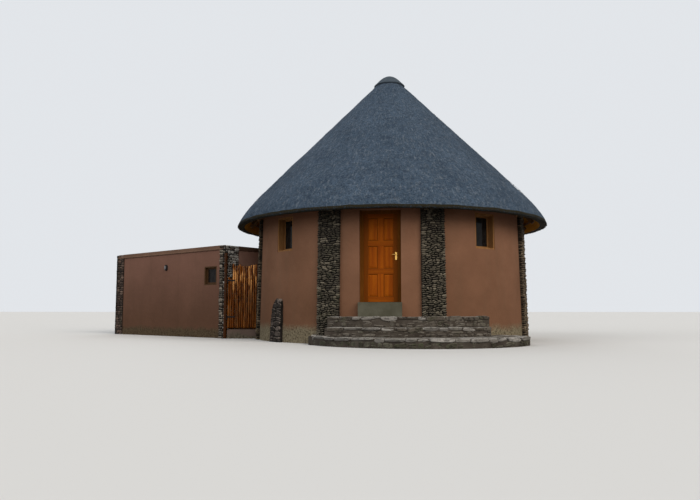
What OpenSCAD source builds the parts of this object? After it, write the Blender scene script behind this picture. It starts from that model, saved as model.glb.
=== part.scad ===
// Rondavel hut: a round plastered hut under a conical thatched roof, with stone pilasters and
// steps, a flat-roofed annex beside it and a stick gate that closes the gap between the two.
// Millimetres. +Z is up, the door faces -Y, and the origin is on the hut's axis at the lowest
// ground level. An angle called phi is counted from the door, positive towards +X.

/* [Round wall] */
// Outer radius of the round wall at the ground
wall_base_r = 3582; // [3450:1:3700]
// How far the round wall's outer face leans in from the ground to its top
wall_lean = 68; // [20:1:100]
// Thickness of the round wall at the ground
wall_t = 322; // [300:1:350]
// Height of the round wall
wall_h = 3300; // [3200:5:3450]
// Height of the finished floor
floor_top = 930; // [880:5:940]
// Thickness of the floor slab
floor_slab_t = 120; // [80:5:200]

/* [Doorway] */
// Width of the doorway in the wall
doorway_w = 940; // [900:5:1000]
// Height of the threshold block's top, which the door frame stands on
sill_top = 945; // [930:5:980]
// Height of the doorway above the threshold block
doorway_h = 2096; // [2000:4:2150]
// Width of the threshold block where it stands out of the wall
sill_nose_w = 980; // [945:5:1100]
// How far the threshold block stands out of the wall
sill_nose_out = 65; // [30:5:120]
// Distance from the round wall's outer face at the ground to the front of the door frame
frame_set_back = 202; // [190:1:210]
// Width of a door frame member that shows beside the closed door
jamb_face = 80; // [50:1:90]
// Depth of the door frame from front to back
frame_depth = 100; // [98:1:110]
// How far the frame's front lip laps over the door's edge
door_lap = 16; // [8:1:20]
// Thickness of the door leaf
leaf_t = 44; // [36:1:46]
// Running gap round the door leaf
door_gap = 7; // [7:0.5:9]
// Gap under the door leaf
door_floor_gap = 8; // [6:1:12]
// Width of the door's outer stiles
stile_w = 114; // [90:1:130]
// Width of the door's middle stile
mid_stile_w = 130; // [80:1:150]
// Height of the door's top rail
top_rail_h = 112; // [90:1:130]
// Height of the door's two middle rails
mid_rail_h = 122; // [80:1:140]
// Height of the door's bottom rail
bottom_rail_h = 120; // [110:1:220]
// Height of the door handle above the door's bottom edge
handle_h = 1040; // [900:5:1100]

/* [Windows] */
// Angle of each of the hut's windows from the door
window_phi = 43.1; // [38:0.1:50]
// Width of the hut's window openings
window_w = 650; // [500:5:700]
// Height of the sill of the hut's windows
window_sill = 2200; // [2000:5:2300]
// Height of the hut's window openings
window_h = 840; // [600:5:900]
// Thickness of the timber that lines a window opening
lining_t = 35; // [25:1:50]
// Depth of the timber lining from front to back
lining_depth = 200; // [150:5:215]
// Depth of the annex window's lining from front to back
annex_lining_depth = 110; // [80:5:215]
// Width of the sash members round a pane
sash_w = 42; // [30:1:60]
// Thickness of the sash
sash_t = 40; // [30:1:50]
// Thickness of a window pane
pane_t = 6; // [4:1:10]

/* [Pilasters] */
// Width of a stone pilaster on the round wall
pilaster_w = 575; // [450:5:650]
// How far a pilaster stands out of the round wall
pilaster_out = 100; // [50:5:120]
// Gap between the pilasters' outer top edge and the rafters above it
pilaster_clear = 6; // [2:1:30]
// Angle of the two pilasters beside the door
front_phi = 19.4; // [17:0.1:21]
// Angle of the two pilasters at the hut's sides
side_phi = 75; // [70:0.5:77]
// Angle of the pilaster behind the right side
rear_phi = 127.5; // [120:0.5:135]

/* [Roof] */
// Slope of the roof in degrees
roof_pitch = 45.5; // [43:0.5:48]
// Width of the timber ring on the wall's top
plate_w = 100; // [80:5:120]
// Height of the timber ring on the wall's top
plate_h = 125; // [120:5:150]
// Distance from the wall's outer edge to the timber ring
plate_inset = 79; // [60:1:90]
// Number of rafter poles
rafter_count = 16; // [12:1:16]
// Radius of a rafter pole
rafter_r = 50; // [35:1:55]
// How far the rafters run out past the wall's top
rafter_out = 336; // [200:1:380]
// Gap between a rafter and the wall's outer edge
rafter_clear = 10; // [5:1:15]
// Radius of the timber hub that the rafters meet at
hub_r = 290; // [285:5:350]
// Thickness of the laths on the rafters
lath_t = 30; // [20:1:40]
// Width of the laths
lath_w = 45; // [30:1:60]
// Distance between laths along the slope
lath_pitch = 340; // [250:5:450]
// Thickness of the thatch
thatch_t = 285; // [200:5:320]
// Height of the thatch's trimmed lower face
eave_z = 2990; // [2950:5:3050]
// Width of the thatch's trimmed lower face
eave_cut_w = 180; // [120:5:240]
// Width of the thatch's rounded shoulder above the eave
shoulder_w = 690; // [500:5:900]
// Radius of the flat that the cap covers at the thatch's top
thatch_top_r = 130; // [80:5:180]
// Radius of the roof's cap
cap_r = 400; // [300:5:500]
// Thickness of the roof's cap
cap_t = 45; // [30:1:70]

/* [Steps] */
// Height of the lowest step
step1_top = 190; // [150:5:220]
// Height of the middle step
step2_top = 390; // [370:5:430]
// Height of the top step, which carries the threshold block
step3_top = 620; // [580:5:660]
// How far the middle step stands out of the round wall
step2_out = 618; // [500:1:700]
// How far the top step stands out of the round wall
step3_out = 288; // [220:1:350]
// Left end of the middle step
step2_left_phi = -16.2; // [-18:0.1:-14]
// Right end of the middle step
step2_right_phi = 35.3; // [32:0.1:40]
// Left end of the top step
step3_left_phi = -17.5; // [-18.5:0.1:-16]
// Right end of the top step
step3_right_phi = 38.8; // [35:0.1:42]
// How much smaller than the round wall's the radius of the lowest step's front is
step1_r_less = 902; // [830:1:980]
// Sideways place of the lowest step's centre
step1_x = 780; // [700:5:860]
// Forward place of the lowest step's centre
step1_y = -2360; // [-2450:5:-2280]
// Left end of the lowest step, before its rounded end
step1_left_phi = -20.5; // [-22:0.5:-18]
// Right end of the lowest step, before its rounded end
step1_right_phi = 42.5; // [38:0.5:46]
// Angle that each of the lowest step's rounded ends takes up
step1_round = 6; // [4:0.1:8]
// Left edge of the stone stub against the wall
stub_left_phi = -50.6; // [-53:0.1:-49]
// Left edge of the stub's narrower top
stub_step_phi = -46.9; // [-48:0.1:-45]
// Right edge of the stub
stub_right_phi = -42.7; // [-44:0.1:-41]
// Height of the stub's wide part
stub_wide_h = 750; // [600:5:850]
// Height of the whole stub
stub_h = 1050; // [900:5:1150]
// How far the stub stands out of the wall
stub_out = 85; // [60:1:130]

/* [Annex] */
// How far the annex is turned from the hut's front
annex_turn = 32.5; // [30:0.5:35]
// How far the annex's right side cuts into the round wall's circle at the ground
annex_let_in = 82; // [70:1:100]
// How far the annex's front stands back from the round wall's front, along the annex's side
annex_set_back = 590; // [570:1:680]
// Length of the annex's front
annex_len = 5505; // [4500:5:6500]
// Depth of the annex
annex_depth = 3600; // [3580:5:3700]
// Height of the annex
annex_h = 2580; // [2450:5:2700]
// Thickness of the annex's walls
annex_wall_t = 220; // [150:5:260]
// Height of the coping on the annex's walls
coping_h = 110; // [60:5:150]
// How far the coping stands out of the annex's walls
coping_out = 25; // [10:1:40]
// Height of the top of the annex's floor
annex_floor_top = 260; // [200:5:320]
// Thickness of the annex's roof slab
annex_roof_t = 150; // [100:5:200]
// Height of the top of the annex's roof slab
annex_roof_top = 2280; // [2200:5:2350]
// How far the annex's stone corners stand out of its walls
corner_out = 50; // [40:1:60]
// Width of the right stone corner on the front wall
corner_front_w = 230; // [180:5:300]
// Width of the right stone corner on the side wall
corner_side_w = 550; // [400:5:600]
// Width of the left and rear stone corners
corner_far_w = 400; // [300:5:500]
// Distance from the annex's right corner to its window
annex_window_from = 375; // [310:5:600]
// Width of the annex's window opening
annex_window_w = 550; // [400:5:700]
// Height of the sill of the annex's window
annex_window_sill = 1480; // [1200:5:1600]
// Height of the annex's window opening
annex_window_h = 530; // [400:5:600]
// Distance from the annex's right corner to the lamp's middle
lamp_from = 2765; // [1500:5:4500]
// Height of the lamp's middle
lamp_z = 2055; // [1800:5:2200]
// Width of the lamp
lamp_w = 120; // [80:5:160]
// Height of the lamp
lamp_h = 190; // [140:5:240]

/* [Gate] */
// Radius of the gate post
post_r = 50; // [40:1:60]
// Height of the gate post
post_h = 2350; // [2200:5:2450]
// Depth of the flat on the post where it stands against the stone corner
post_flat = 4; // [2:0.5:8]
// Distance from the post's middle to the front of the annex's stone corner
post_from_front = 27; // [20:1:60]
// Height of the gate's lower end
gate_bottom = 272; // [262:1:300]
// Height of the gate's upper end
gate_top = 2050; // [1900:5:2150]
// Height of the two short sticks beside the post
gate_short_top = 1680; // [1500:5:1750]
// Number of sticks in the gate
stick_count = 13; // [11:1:13]
// Radius of a gate stick
stick_r = 27; // [22:0.5:27]
// Distance between the gate's free end and the round wall
gate_free_gap = 108; // [100:1:150]
// Radius of the gate's rails
gate_rail_r = 26; // [20:0.5:30]
// Height of the kerb under the gate
kerb_h = 250; // [200:5:255]
// Thickness of the kerb under the gate
kerb_t = 170; // [120:5:200]
// Radius of the kerb's rounded end
kerb_round = 60; // [20:5:100]

/* [Hinges] */
// Radius of the hinge pins
pin_r = 6; // [4:0.5:7]
// Radial clearance of the hinge pins
pin_gap = 0.3; // [0.2:0.1:0.5]
// Outer radius of the hinge knuckles
knuckle_r = 11; // [10:0.5:13]
// Height of one hinge knuckle
knuckle_h = 55; // [40:1:70]
// Gap between two knuckles
knuckle_gap = 0.3; // [0.2:0.1:0.6]

/* [Hidden] */

$fn = 120;
round_fn = 360;         // for the hut's own radii
slack = 1;              // how far a cut runs past the face that it goes through
touch = 0.6;            // gap between round pieces that are laid against each other

wall_top_r = wall_base_r - wall_lean;
wall_inner_r = wall_base_r - wall_t;
reach = 2 * wall_base_r;    // length of the doorway's and the windows' cuts

// Doorway and door
frame_front = wall_base_r - frame_set_back;
door_head = sill_top + doorway_h;
rebate_w = doorway_w / 2 - jamb_face + door_lap + door_gap;
leaf_half = rebate_w - door_gap;
leaf_bottom = sill_top + door_floor_gap;
leaf_top = door_head - jamb_face + door_lap;
leaf_back = frame_front - frame_depth;
leaf_front = leaf_back + leaf_t;
door_pin_x = -leaf_half - door_gap / 2;
knuckle_off = 1;        // gap between the knuckles and the door leaf's back
door_pin_y = -leaf_back + knuckle_r + knuckle_off;
hinge_from_bottom = 220;
hinge_from_top = 330;
door_hinge_z = [leaf_bottom + hinge_from_bottom, (leaf_bottom + leaf_top) / 2,
    leaf_top - hinge_from_top];
hinge_plate_t = 3;
hinge_plate_w = 42;
hinge_margin = 8;       // distance from a hinge plate to the doorway's side

// Roof lines: the rafters' underside starts on the timber ring, and what lies above it is offset
wall_batter = wall_lean / wall_h;
rafter_tail_r = wall_top_r + rafter_out;
plate_outer_r = wall_top_r - plate_inset;
seat_z = wall_h + plate_inset * tan(roof_pitch) + rafter_clear;
// The pilasters' top follows the rafters' underside at its outer edge
pilaster_h = (seat_z - pilaster_clear - (wall_base_r + pilaster_out - plate_outer_r) * tan(roof_pitch))
    / (1 - wall_batter * tan(roof_pitch));
rafter_top = 2 * rafter_r;
lath_seat = rafter_top + touch;
thatch_under = lath_seat + lath_t + touch;
thatch_over = thatch_under + thatch_t;
eave_inner_r = plate_outer_r + (seat_z + thatch_under / cos(roof_pitch) - eave_z) / tan(roof_pitch);
eave_r = eave_inner_r + eave_cut_w;
eave_bevel = 15;        // worn lower edge of the thatch
bend_in = 140;          // how far inside the eave the shoulder's curve bends
shoulder_steps = 6;
hub_margin = 20;
hub_inside = 90;        // how far the rafters run into the hub

// Steps
step2_r = wall_base_r + step2_out;
step3_r = wall_base_r + step3_out;
step1_r = wall_base_r - step1_r_less;
step1_facets = 24;
step1_end_facets = 6;

// Annex and gate
annex_side_gap = wall_base_r - annex_let_in;
annex_ahead = wall_base_r - annex_set_back;
annex_room = annex_wall_t + corner_out;
gate_pin_off = 6;       // distance from the post's side to the middle of the gate's pins
gate_post_gap = 14;     // gap between the post and the first stick
short_sticks = 2;       // number of short sticks beside the post
rail_let_in = 12;       // depth that the rails are let into the sticks
rail_from_bottom = 190;
rail_from_top = 430;
strap_from_bottom = 300;
strap_from_top = 480;
post_y = post_from_front;
post_x = post_r - post_flat;
post_at = turned([post_x - annex_side_gap, post_y - annex_ahead], -annex_turn);
post_phi = atan2(post_at[0], -post_at[1]);
post_dist = norm(post_at);
gate_pin = [stick_r + knuckle_r, post_r + gate_pin_off];
gate_start = post_r + gate_post_gap;
gate_end = post_dist - wall_base_r - gate_free_gap;
stick_pitch = (gate_end - gate_start - 2 * stick_r) / (stick_count - 1);
rail_back = stick_r + gate_rail_r - rail_let_in;
rail_z = [gate_bottom + rail_from_bottom, (gate_bottom + gate_top) / 2, gate_top - rail_from_top];
gate_hinge_z = [gate_bottom + strap_from_bottom, gate_top - strap_from_top];

function direction(phi) = [sin(phi), -cos(phi)];
function turned(p, a) = [p[0] * cos(a) - p[1] * sin(a), p[0] * sin(a) + p[1] * cos(a)];
function wall_r(z) = wall_base_r - wall_batter * z;
// Height of the roof line that lies a given distance above the rafters' underside
function roof_z(offset, r) = seat_z + offset / cos(roof_pitch) - (r - plate_outer_r) * tan(roof_pitch);
function bend(a, b, c, t) = a * (1 - t) * (1 - t) + b * 2 * t * (1 - t) + c * t * t;
function half_angle(width, r) = asin(width / 2 / r);

// Turns what is modelled at the door's side of the hut to another angle
module at(phi) {
    rotate([0, 0, phi]) children();
}

// A ring section between two angles, turned from a profile of radius and height
module sector(phi_from, phi_to) {
    rotate([0, 0, phi_from - 90])
        rotate_extrude(angle = phi_to - phi_from, $fn = round_fn)
            children();
}

// A stretch of the round wall, with a hair joint at its far end
module wall_arc(phi_from, phi_to) {
    sector(phi_from, phi_to - half_angle(2 * touch, wall_inner_r))
        polygon([[wall_inner_r, 0], [wall_base_r, 0], [wall_top_r, wall_h], [wall_inner_r, wall_h]]);
}

// The round wall's outside as a solid, for cutting what stands against it
module wall_body() {
    translate([0, 0, -slack])
        cylinder(h = wall_h + 2 * slack, r1 = wall_r(-slack) + touch, r2 = wall_r(wall_h + slack) + touch,
            $fn = round_fn);
}

module doorway_cut(height_from, height_to) {
    translate([-doorway_w / 2, -reach, height_from])
        cube([doorway_w, reach, height_to - height_from]);
}

module window_cut() {
    translate([-window_w / 2, -reach, window_sill])
        cube([window_w, reach, window_h]);
}

module pilaster(phi) {
    a = half_angle(pilaster_w, wall_base_r);
    sector(phi - a, phi + a)
        polygon([[wall_base_r + touch, 0], [wall_base_r + pilaster_out, 0],
            [wall_r(pilaster_h) + pilaster_out, pilaster_h], [wall_r(pilaster_h) + touch, pilaster_h]]);
}

// The pilasters beside the door with the wall behind them, for cutting what stands against them
module pilaster_bodies() {
    a = half_angle(pilaster_w + 2 * touch, wall_base_r);
    out = pilaster_out + touch;
    for (side = [-1, 1])
        sector(side * front_phi - a, side * front_phi + a)
            polygon([[wall_inner_r, -slack], [wall_r(-slack) + out, -slack],
                [wall_r(pilaster_h) + out, pilaster_h], [wall_inner_r, pilaster_h]]);
}

// Floor
module floor_fill() {
    color([0.45, 0.38, 0.32])
        cylinder(h = floor_top - floor_slab_t, r = wall_inner_r - touch, $fn = round_fn);
}

module floor_slab() {
    color([0.55, 0.52, 0.47])
        translate([0, 0, floor_top - floor_slab_t])
            cylinder(h = floor_slab_t, r = wall_inner_r - touch, $fn = round_fn);
}

// Round wall, split where the pilasters cover the joints
module wall_door_left() {
    color([0.53, 0.36, 0.29])
        difference() {
            wall_arc(-front_phi, 0);
            doorway_cut(-slack, wall_h + slack);
        }
}

module wall_door_right() {
    color([0.53, 0.36, 0.29])
        difference() {
            wall_arc(0, front_phi);
            doorway_cut(-slack, wall_h + slack);
        }
}

module wall_over_door() {
    color([0.53, 0.36, 0.29])
        intersection() {
            wall_arc(-front_phi, front_phi);
            doorway_cut(door_head, wall_h + slack);
        }
}

module wall_window_left() {
    color([0.53, 0.36, 0.29])
        difference() {
            wall_arc(-side_phi, -front_phi);
            at(-window_phi) window_cut();
        }
}

module wall_window_right() {
    color([0.53, 0.36, 0.29])
        difference() {
            wall_arc(front_phi, side_phi);
            at(window_phi) window_cut();
        }
}

module wall_left_rear() {
    color([0.53, 0.36, 0.29])
        wall_arc(-rear_phi, -side_phi);
}

module wall_right_rear() {
    color([0.53, 0.36, 0.29])
        wall_arc(side_phi, rear_phi);
}

module wall_back() {
    color([0.53, 0.36, 0.29])
        wall_arc(rear_phi, 360 - rear_phi);
}

// Stone pilasters
module pilasters_front() {
    color([0.25, 0.25, 0.24])
        for (side = [-1, 1]) pilaster(side * front_phi);
}

module pilasters_side() {
    color([0.25, 0.25, 0.24])
        for (side = [-1, 1]) pilaster(side * side_phi);
}

module pilasters_rear() {
    color([0.25, 0.25, 0.24])
        for (phi = [rear_phi, 180]) pilaster(phi);
}

// Roof
module plate_ring() {
    rotate_extrude($fn = round_fn)
        translate([plate_outer_r - plate_w, wall_h + touch])
            square([plate_w, plate_h]);
}

module wall_plate() {
    color([0.42, 0.30, 0.20])
        plate_ring();
}

module rafter_pole() {
    translate([0, -rafter_tail_r, roof_z(rafter_r, rafter_tail_r)])
        rotate([roof_pitch - 90, 0, 0])
            cylinder(h = (rafter_tail_r - hub_r + hub_inside) / cos(roof_pitch), r = rafter_r);
}

module rafter_hub() {
    low = roof_z(0, hub_r) - hub_margin;
    high = roof_z(rafter_top, hub_r) + hub_margin;
    translate([0, 0, low]) cylinder(h = high - low, r = hub_r);
}

// Poles that sit in notches on the timber ring and meet at the hub
module rafters() {
    color([0.42, 0.30, 0.20])
        difference() {
            union() {
                rafter_hub();
                for (k = [0 : rafter_count - 1])
                    at((k + 0.5) * 360 / rafter_count) rafter_pole();
            }
            plate_ring();
        }
}

module lath_ring(r) {
    along = [cos(roof_pitch), -sin(roof_pitch)] * lath_w / 2;
    up = [sin(roof_pitch), cos(roof_pitch)] * lath_t;
    foot = [r, roof_z(lath_seat, r)];
    rotate_extrude($fn = round_fn)
        polygon([foot - along, foot + along, foot + along + up, foot - along + up]);
}

module roof_laths() {
    step = lath_pitch * cos(roof_pitch);
    first = rafter_tail_r - lath_w;
    color([0.50, 0.38, 0.24])
        for (r = [first : -step : hub_r + lath_w]) lath_ring(r);
}

// The thatch: a straight cone that bends down to a rounded, trimmed eave
module thatch() {
    bend_from = [eave_r - shoulder_w, roof_z(thatch_over, eave_r - shoulder_w)];
    bend_at = [eave_r - bend_in, roof_z(thatch_over, eave_r - bend_in)];
    bend_to = [eave_r, eave_z + eave_bevel];
    color([0.24, 0.28, 0.32])
        rotate_extrude($fn = round_fn)
            polygon(concat(
                [[0, roof_z(thatch_under, 0)], [eave_inner_r, eave_z], [eave_r - eave_bevel, eave_z]],
                [for (k = [0 : shoulder_steps]) bend(bend_to, bend_at, bend_from, k / shoulder_steps)],
                [[thatch_top_r, roof_z(thatch_over, thatch_top_r)],
                    [0, roof_z(thatch_over, thatch_top_r)]]));
}

// A thin cap that follows the cone and is rounded over its top
module roof_cap() {
    flat_z = roof_z(thatch_over, thatch_top_r);
    rim = [cap_r, roof_z(thatch_over, cap_r)];
    lip = rim + [sin(roof_pitch), cos(roof_pitch)] * cap_t;
    crown = [0, flat_z + cap_t];
    knee_r = thatch_top_r + (cap_t / cos(roof_pitch) - cap_t) / tan(roof_pitch);
    knee = [knee_r, crown[1]];
    round_from = [2 * knee_r, roof_z(thatch_over + cap_t, 2 * knee_r)];
    color([0.30, 0.32, 0.33])
        rotate_extrude($fn = round_fn)
            polygon(concat(
                [[0, flat_z], [thatch_top_r, flat_z], rim, lip],
                [for (k = [0 : shoulder_steps]) bend(round_from, knee, crown, k / shoulder_steps)]));
}

// Doorway
module door_threshold() {
    color([0.48, 0.46, 0.38])
        union() {
            intersection() {
                wall_arc(-front_phi, front_phi);
                doorway_cut(0, sill_top);
            }
            difference() {
                translate([-sill_nose_w / 2, -wall_base_r - sill_nose_out, step3_top + touch])
                    cube([sill_nose_w, 2 * sill_nose_out, sill_top - step3_top - touch]);
                difference() {
                    wall_body();
                    doorway_cut(0, sill_top + slack);
                }
            }
        }
}

module frame_profile() {
    difference() {
        translate([-doorway_w / 2, sill_top]) square([doorway_w, doorway_h]);
        translate([-rebate_w, sill_top - slack])
            square([2 * rebate_w, leaf_top + door_gap - sill_top + slack]);
    }
}

// Frame with a rebate that the leaf closes into from inside
module door_frame() {
    lip_depth = frame_front - leaf_front - door_gap;
    inner_half = doorway_w / 2 - jamb_face;
    color([0.42, 0.22, 0.10])
        union() {
            translate([0, -frame_front + frame_depth, 0]) rotate([90, 0, 0])
                linear_extrude(frame_depth) frame_profile();
            translate([0, -frame_front + lip_depth, 0]) rotate([90, 0, 0])
                linear_extrude(lip_depth) difference() {
                    translate([-doorway_w / 2, sill_top]) square([doorway_w, doorway_h]);
                    translate([-inner_half, sill_top - slack])
                        square([2 * inner_half, doorway_h - jamb_face + slack]);
                }
        }
}

panel_w = (2 * leaf_half - 2 * stile_w - mid_stile_w) / 2;
panel_zone = leaf_top - leaf_bottom - top_rail_h - bottom_rail_h - 2 * mid_rail_h;
panel_h = panel_zone / 3;
panel_x = [-mid_stile_w / 2 - panel_w, mid_stile_w / 2];
panel_z = [for (k = [0 : 2]) leaf_bottom + bottom_rail_h + k * (panel_h + mid_rail_h)];

// Stiles and rails round six panels
module door_leaf() {
    color([0.66, 0.31, 0.10])
        translate([0, -leaf_back, 0]) rotate([90, 0, 0])
            linear_extrude(leaf_t) difference() {
                translate([-leaf_half, leaf_bottom]) square([2 * leaf_half, leaf_top - leaf_bottom]);
                for (x = panel_x, z = panel_z) translate([x, z]) square([panel_w, panel_h]);
            }
}

panel_edge_t = 14;      // thickness of a panel's thin edge
panel_raise_t = 32;     // thickness of a panel's raised field
panel_bevel = 38;       // width of a panel's border round its raised field
bevel_start = 0.45;     // share of the border that is flat before the slope begins

// A panel with a thin edge, a sloping border and a raised field on both faces
module raised_panel() {
    mid = -(leaf_front + leaf_back) / 2;
    module slab(inset, thickness) {
        translate([inset, mid - thickness / 2, inset])
            cube([panel_w - 2 * inset, thickness, panel_h - 2 * inset]);
    }
    union() {
        slab(0, panel_edge_t);
        hull() {
            slab(panel_bevel * bevel_start, panel_edge_t);
            slab(panel_bevel, panel_raise_t);
        }
    }
}

module door_panels() {
    color([0.66, 0.31, 0.10])
        for (x = panel_x, z = panel_z) translate([x, 0, z]) raised_panel();
}

handle_plate = [42, 7, 170];
handle_reach = 48;      // how far the lever stands out of the door
handle_rod_r = 9;
lever_up = 35;          // height of the lever above the plate's middle
lever_len = 85;

// Lever, neck and plate on one face of the door, at y = 0 facing -Y
module handle_side() {
    translate([-handle_plate[0] / 2, -handle_plate[1], -handle_plate[2] / 2]) cube(handle_plate);
    translate([0, 0, lever_up]) rotate([90, 0, 0]) cylinder(h = handle_reach, r = handle_rod_r);
    translate([0, -handle_reach, lever_up]) rotate([0, -90, 0]) cylinder(h = lever_len, r = handle_rod_r);
    translate([0, -handle_reach, lever_up]) sphere(r = handle_rod_r);
    translate([-lever_len, -handle_reach, lever_up]) sphere(r = handle_rod_r);
}

module door_handle() {
    x = leaf_half - stile_w / 2;
    color([0.72, 0.55, 0.25])
        translate([x, 0, leaf_bottom + handle_h]) {
            translate([0, -leaf_front, 0]) handle_side();
            translate([0, -leaf_back, 0]) mirror([0, 1, 0]) handle_side();
        }
}

// Lift-off hinges: a pin on the frame's half stands in the leaf half's bore
pin_share = 0.7;        // share of a knuckle's height that the pin reaches
pin_end_gap = 2;        // gap above the pin's end

module hinge_lower() {
    translate([0, 0, -knuckle_h]) cylinder(h = knuckle_h, r = knuckle_r);
    translate([0, 0, -slack]) cylinder(h = knuckle_h * pin_share + slack, r = pin_r);
}

module hinge_upper() {
    difference() {
        translate([0, 0, knuckle_gap]) cylinder(h = knuckle_h, r = knuckle_r);
        cylinder(h = knuckle_h * pin_share + pin_end_gap, r = pin_r + pin_gap);
    }
}

// A flat plate from a knuckle to the face that it is fixed to
module hinge_plate(from_x, to_x, face_y, z_from) {
    translate([from_x, face_y, z_from]) cube([to_x - from_x, hinge_plate_t, knuckle_h]);
}

module door_hinges_frame() {
    color([0.35, 0.33, 0.30])
        for (z = door_hinge_z) {
            translate([door_pin_x, door_pin_y, z]) hinge_lower();
            hinge_plate(-doorway_w / 2 + hinge_margin, door_pin_x, -leaf_back, z - knuckle_h);
        }
}

module door_hinges_leaf() {
    color([0.35, 0.33, 0.30])
        for (z = door_hinge_z) {
            translate([door_pin_x, door_pin_y, z]) hinge_upper();
            hinge_plate(-leaf_half, -leaf_half + hinge_plate_w, -leaf_back, z + knuckle_gap);
        }
}

// Windows
module lining(width, height, depth) {
    difference() {
        cube([width, depth, height]);
        translate([lining_t, -slack, lining_t])
            cube([width - 2 * lining_t, depth + 2 * slack, height - 2 * lining_t]);
    }
}

// A timber lining with a sash at its inner end; y = 0 is its outer face
module window_frame(width, height, depth) {
    lining(width, height, depth);
    translate([lining_t, depth - sash_t, lining_t])
        difference() {
            cube([width - 2 * lining_t, sash_t, height - 2 * lining_t]);
            translate([sash_w, -slack, sash_w])
                cube([width - 2 * (lining_t + sash_w), sash_t + 2 * slack, height - 2 * (lining_t + sash_w)]);
        }
}

module window_pane(width, height, depth) {
    border = lining_t + sash_w;
    translate([border, depth - sash_t / 2 - pane_t / 2, border])
        cube([width - 2 * border, pane_t, height - 2 * border]);
}

// Place of a hut window's outer face, at its lower left corner
module at_hut_window(side) {
    set_in = sqrt(pow(wall_r(window_sill + window_h), 2) - pow(window_w / 2, 2));
    at(side * window_phi) translate([-window_w / 2, -set_in, window_sill]) children();
}

module at_annex_window() {
    annex_place()
        translate([-annex_window_from - annex_window_w, corner_out, annex_window_sill]) children();
}

module window_frames() {
    color([0.36, 0.20, 0.11]) {
        for (side = [-1, 1]) at_hut_window(side) window_frame(window_w, window_h, lining_depth);
        at_annex_window() window_frame(annex_window_w, annex_window_h, annex_lining_depth);
    }
}

module window_panes() {
    color([0.30, 0.38, 0.45]) {
        for (side = [-1, 1]) at_hut_window(side) window_pane(window_w, window_h, lining_depth);
        at_annex_window() window_pane(annex_window_w, annex_window_h, annex_lining_depth);
    }
}

// Steps
// Distance from the hut's axis to the lowest step's round front
function front_r(phi) =
    let (b = step1_x * sin(phi) - step1_y * cos(phi))
    b + sqrt(b * b - step1_x * step1_x - step1_y * step1_y + step1_r * step1_r);

// A point of a rounded end of the lowest step, which starts at an angle with a share of 0
function end_point(phi, turn, share) =
    direction(phi + turn * sin(90 * share))
        * (wall_inner_r + (front_r(phi) - wall_inner_r) * cos(90 * share));

module step_lowest() {
    color([0.36, 0.34, 0.31])
        difference() {
            linear_extrude(step1_top)
                polygon(concat(
                    [for (k = [0 : step1_facets])
                        let (phi = step1_left_phi + (step1_right_phi - step1_left_phi) * k / step1_facets)
                        direction(phi) * front_r(phi)],
                    [for (k = [1 : step1_end_facets])
                        end_point(step1_right_phi, step1_round, k / step1_end_facets)],
                    [[0, -wall_inner_r / 2]],
                    [for (k = [step1_end_facets : -1 : 1])
                        end_point(step1_left_phi, -step1_round, k / step1_end_facets)]));
            wall_body();
            pilaster_bodies();
        }
}

module upper_step(r, left_phi, right_phi, z_from, z_to) {
    difference() {
        sector(left_phi, right_phi)
            polygon([[wall_r(z_from) + touch, z_from], [r, z_from], [r, z_to],
                [wall_r(z_to) + touch, z_to]]);
        pilaster_bodies();
    }
}

module step_middle() {
    color([0.40, 0.38, 0.34])
        upper_step(step2_r, step2_left_phi, step2_right_phi, step1_top + touch, step2_top);
}

module step_top() {
    color([0.44, 0.42, 0.38])
        upper_step(step3_r, step3_left_phi, step3_right_phi, step2_top + touch, step3_top);
}

stub_top_set_back = 15; // how far the stub's upper part stands behind its lower part

module stub_part(phi_from, z_from, z_to, out) {
    sector(phi_from, stub_right_phi)
        polygon([[wall_r(z_from) + touch, z_from], [wall_r(z_from) + out, z_from],
            [wall_r(z_from) + out, z_to], [wall_r(z_to) + touch, z_to]]);
}

module stone_stub() {
    color([0.30, 0.28, 0.25])
        union() {
            stub_part(stub_left_phi, 0, stub_wide_h, stub_out);
            stub_part(stub_step_phi, 0, stub_h, stub_out - stub_top_set_back);
        }
}

// Annex: its own frame has its origin at the right front corner, +Y along its right side
module annex_place() {
    rotate([0, 0, -annex_turn])
        translate([-annex_side_gap, -annex_ahead, 0])
            children();
}

module annex_block(x_from, x_to, y_from, y_to, z_from, z_to) {
    annex_place()
        translate([x_from, y_from, z_from])
            cube([x_to - x_from, y_to - y_from, z_to - z_from]);
}

wall_top_z = annex_h - coping_h;

module annex_front_wall() {
    color([0.44, 0.31, 0.26])
        difference() {
            annex_block(-annex_len + corner_out, -corner_out, corner_out, annex_room, 0, wall_top_z);
            annex_block(-annex_window_from - annex_window_w, -annex_window_from, 0, 2 * annex_room,
                annex_window_sill, annex_window_sill + annex_window_h);
        }
}

module annex_left_wall() {
    color([0.44, 0.31, 0.26])
        annex_block(-annex_len + corner_out, -annex_len + annex_room, annex_room,
            annex_depth - annex_room, 0, wall_top_z);
}

module annex_rear_wall() {
    color([0.44, 0.31, 0.26])
        difference() {
            annex_block(-annex_len + corner_out, -corner_out, annex_depth - annex_room,
                annex_depth - corner_out, 0, wall_top_z);
            wall_body();
        }
}

module annex_right_wall() {
    color([0.44, 0.31, 0.26])
        difference() {
            annex_block(-annex_room, -corner_out, annex_room, annex_depth - annex_room, 0, wall_top_z);
            wall_body();
        }
}

module annex_floor() {
    color([0.50, 0.48, 0.44])
        annex_block(-annex_len + annex_room, -annex_room, annex_room, annex_depth - annex_room,
            0, annex_floor_top);
}

module annex_roof() {
    color([0.46, 0.42, 0.38])
        annex_block(-annex_len + annex_room, -annex_room, annex_room, annex_depth - annex_room,
            annex_roof_top - annex_roof_t, annex_roof_top);
}

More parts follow.
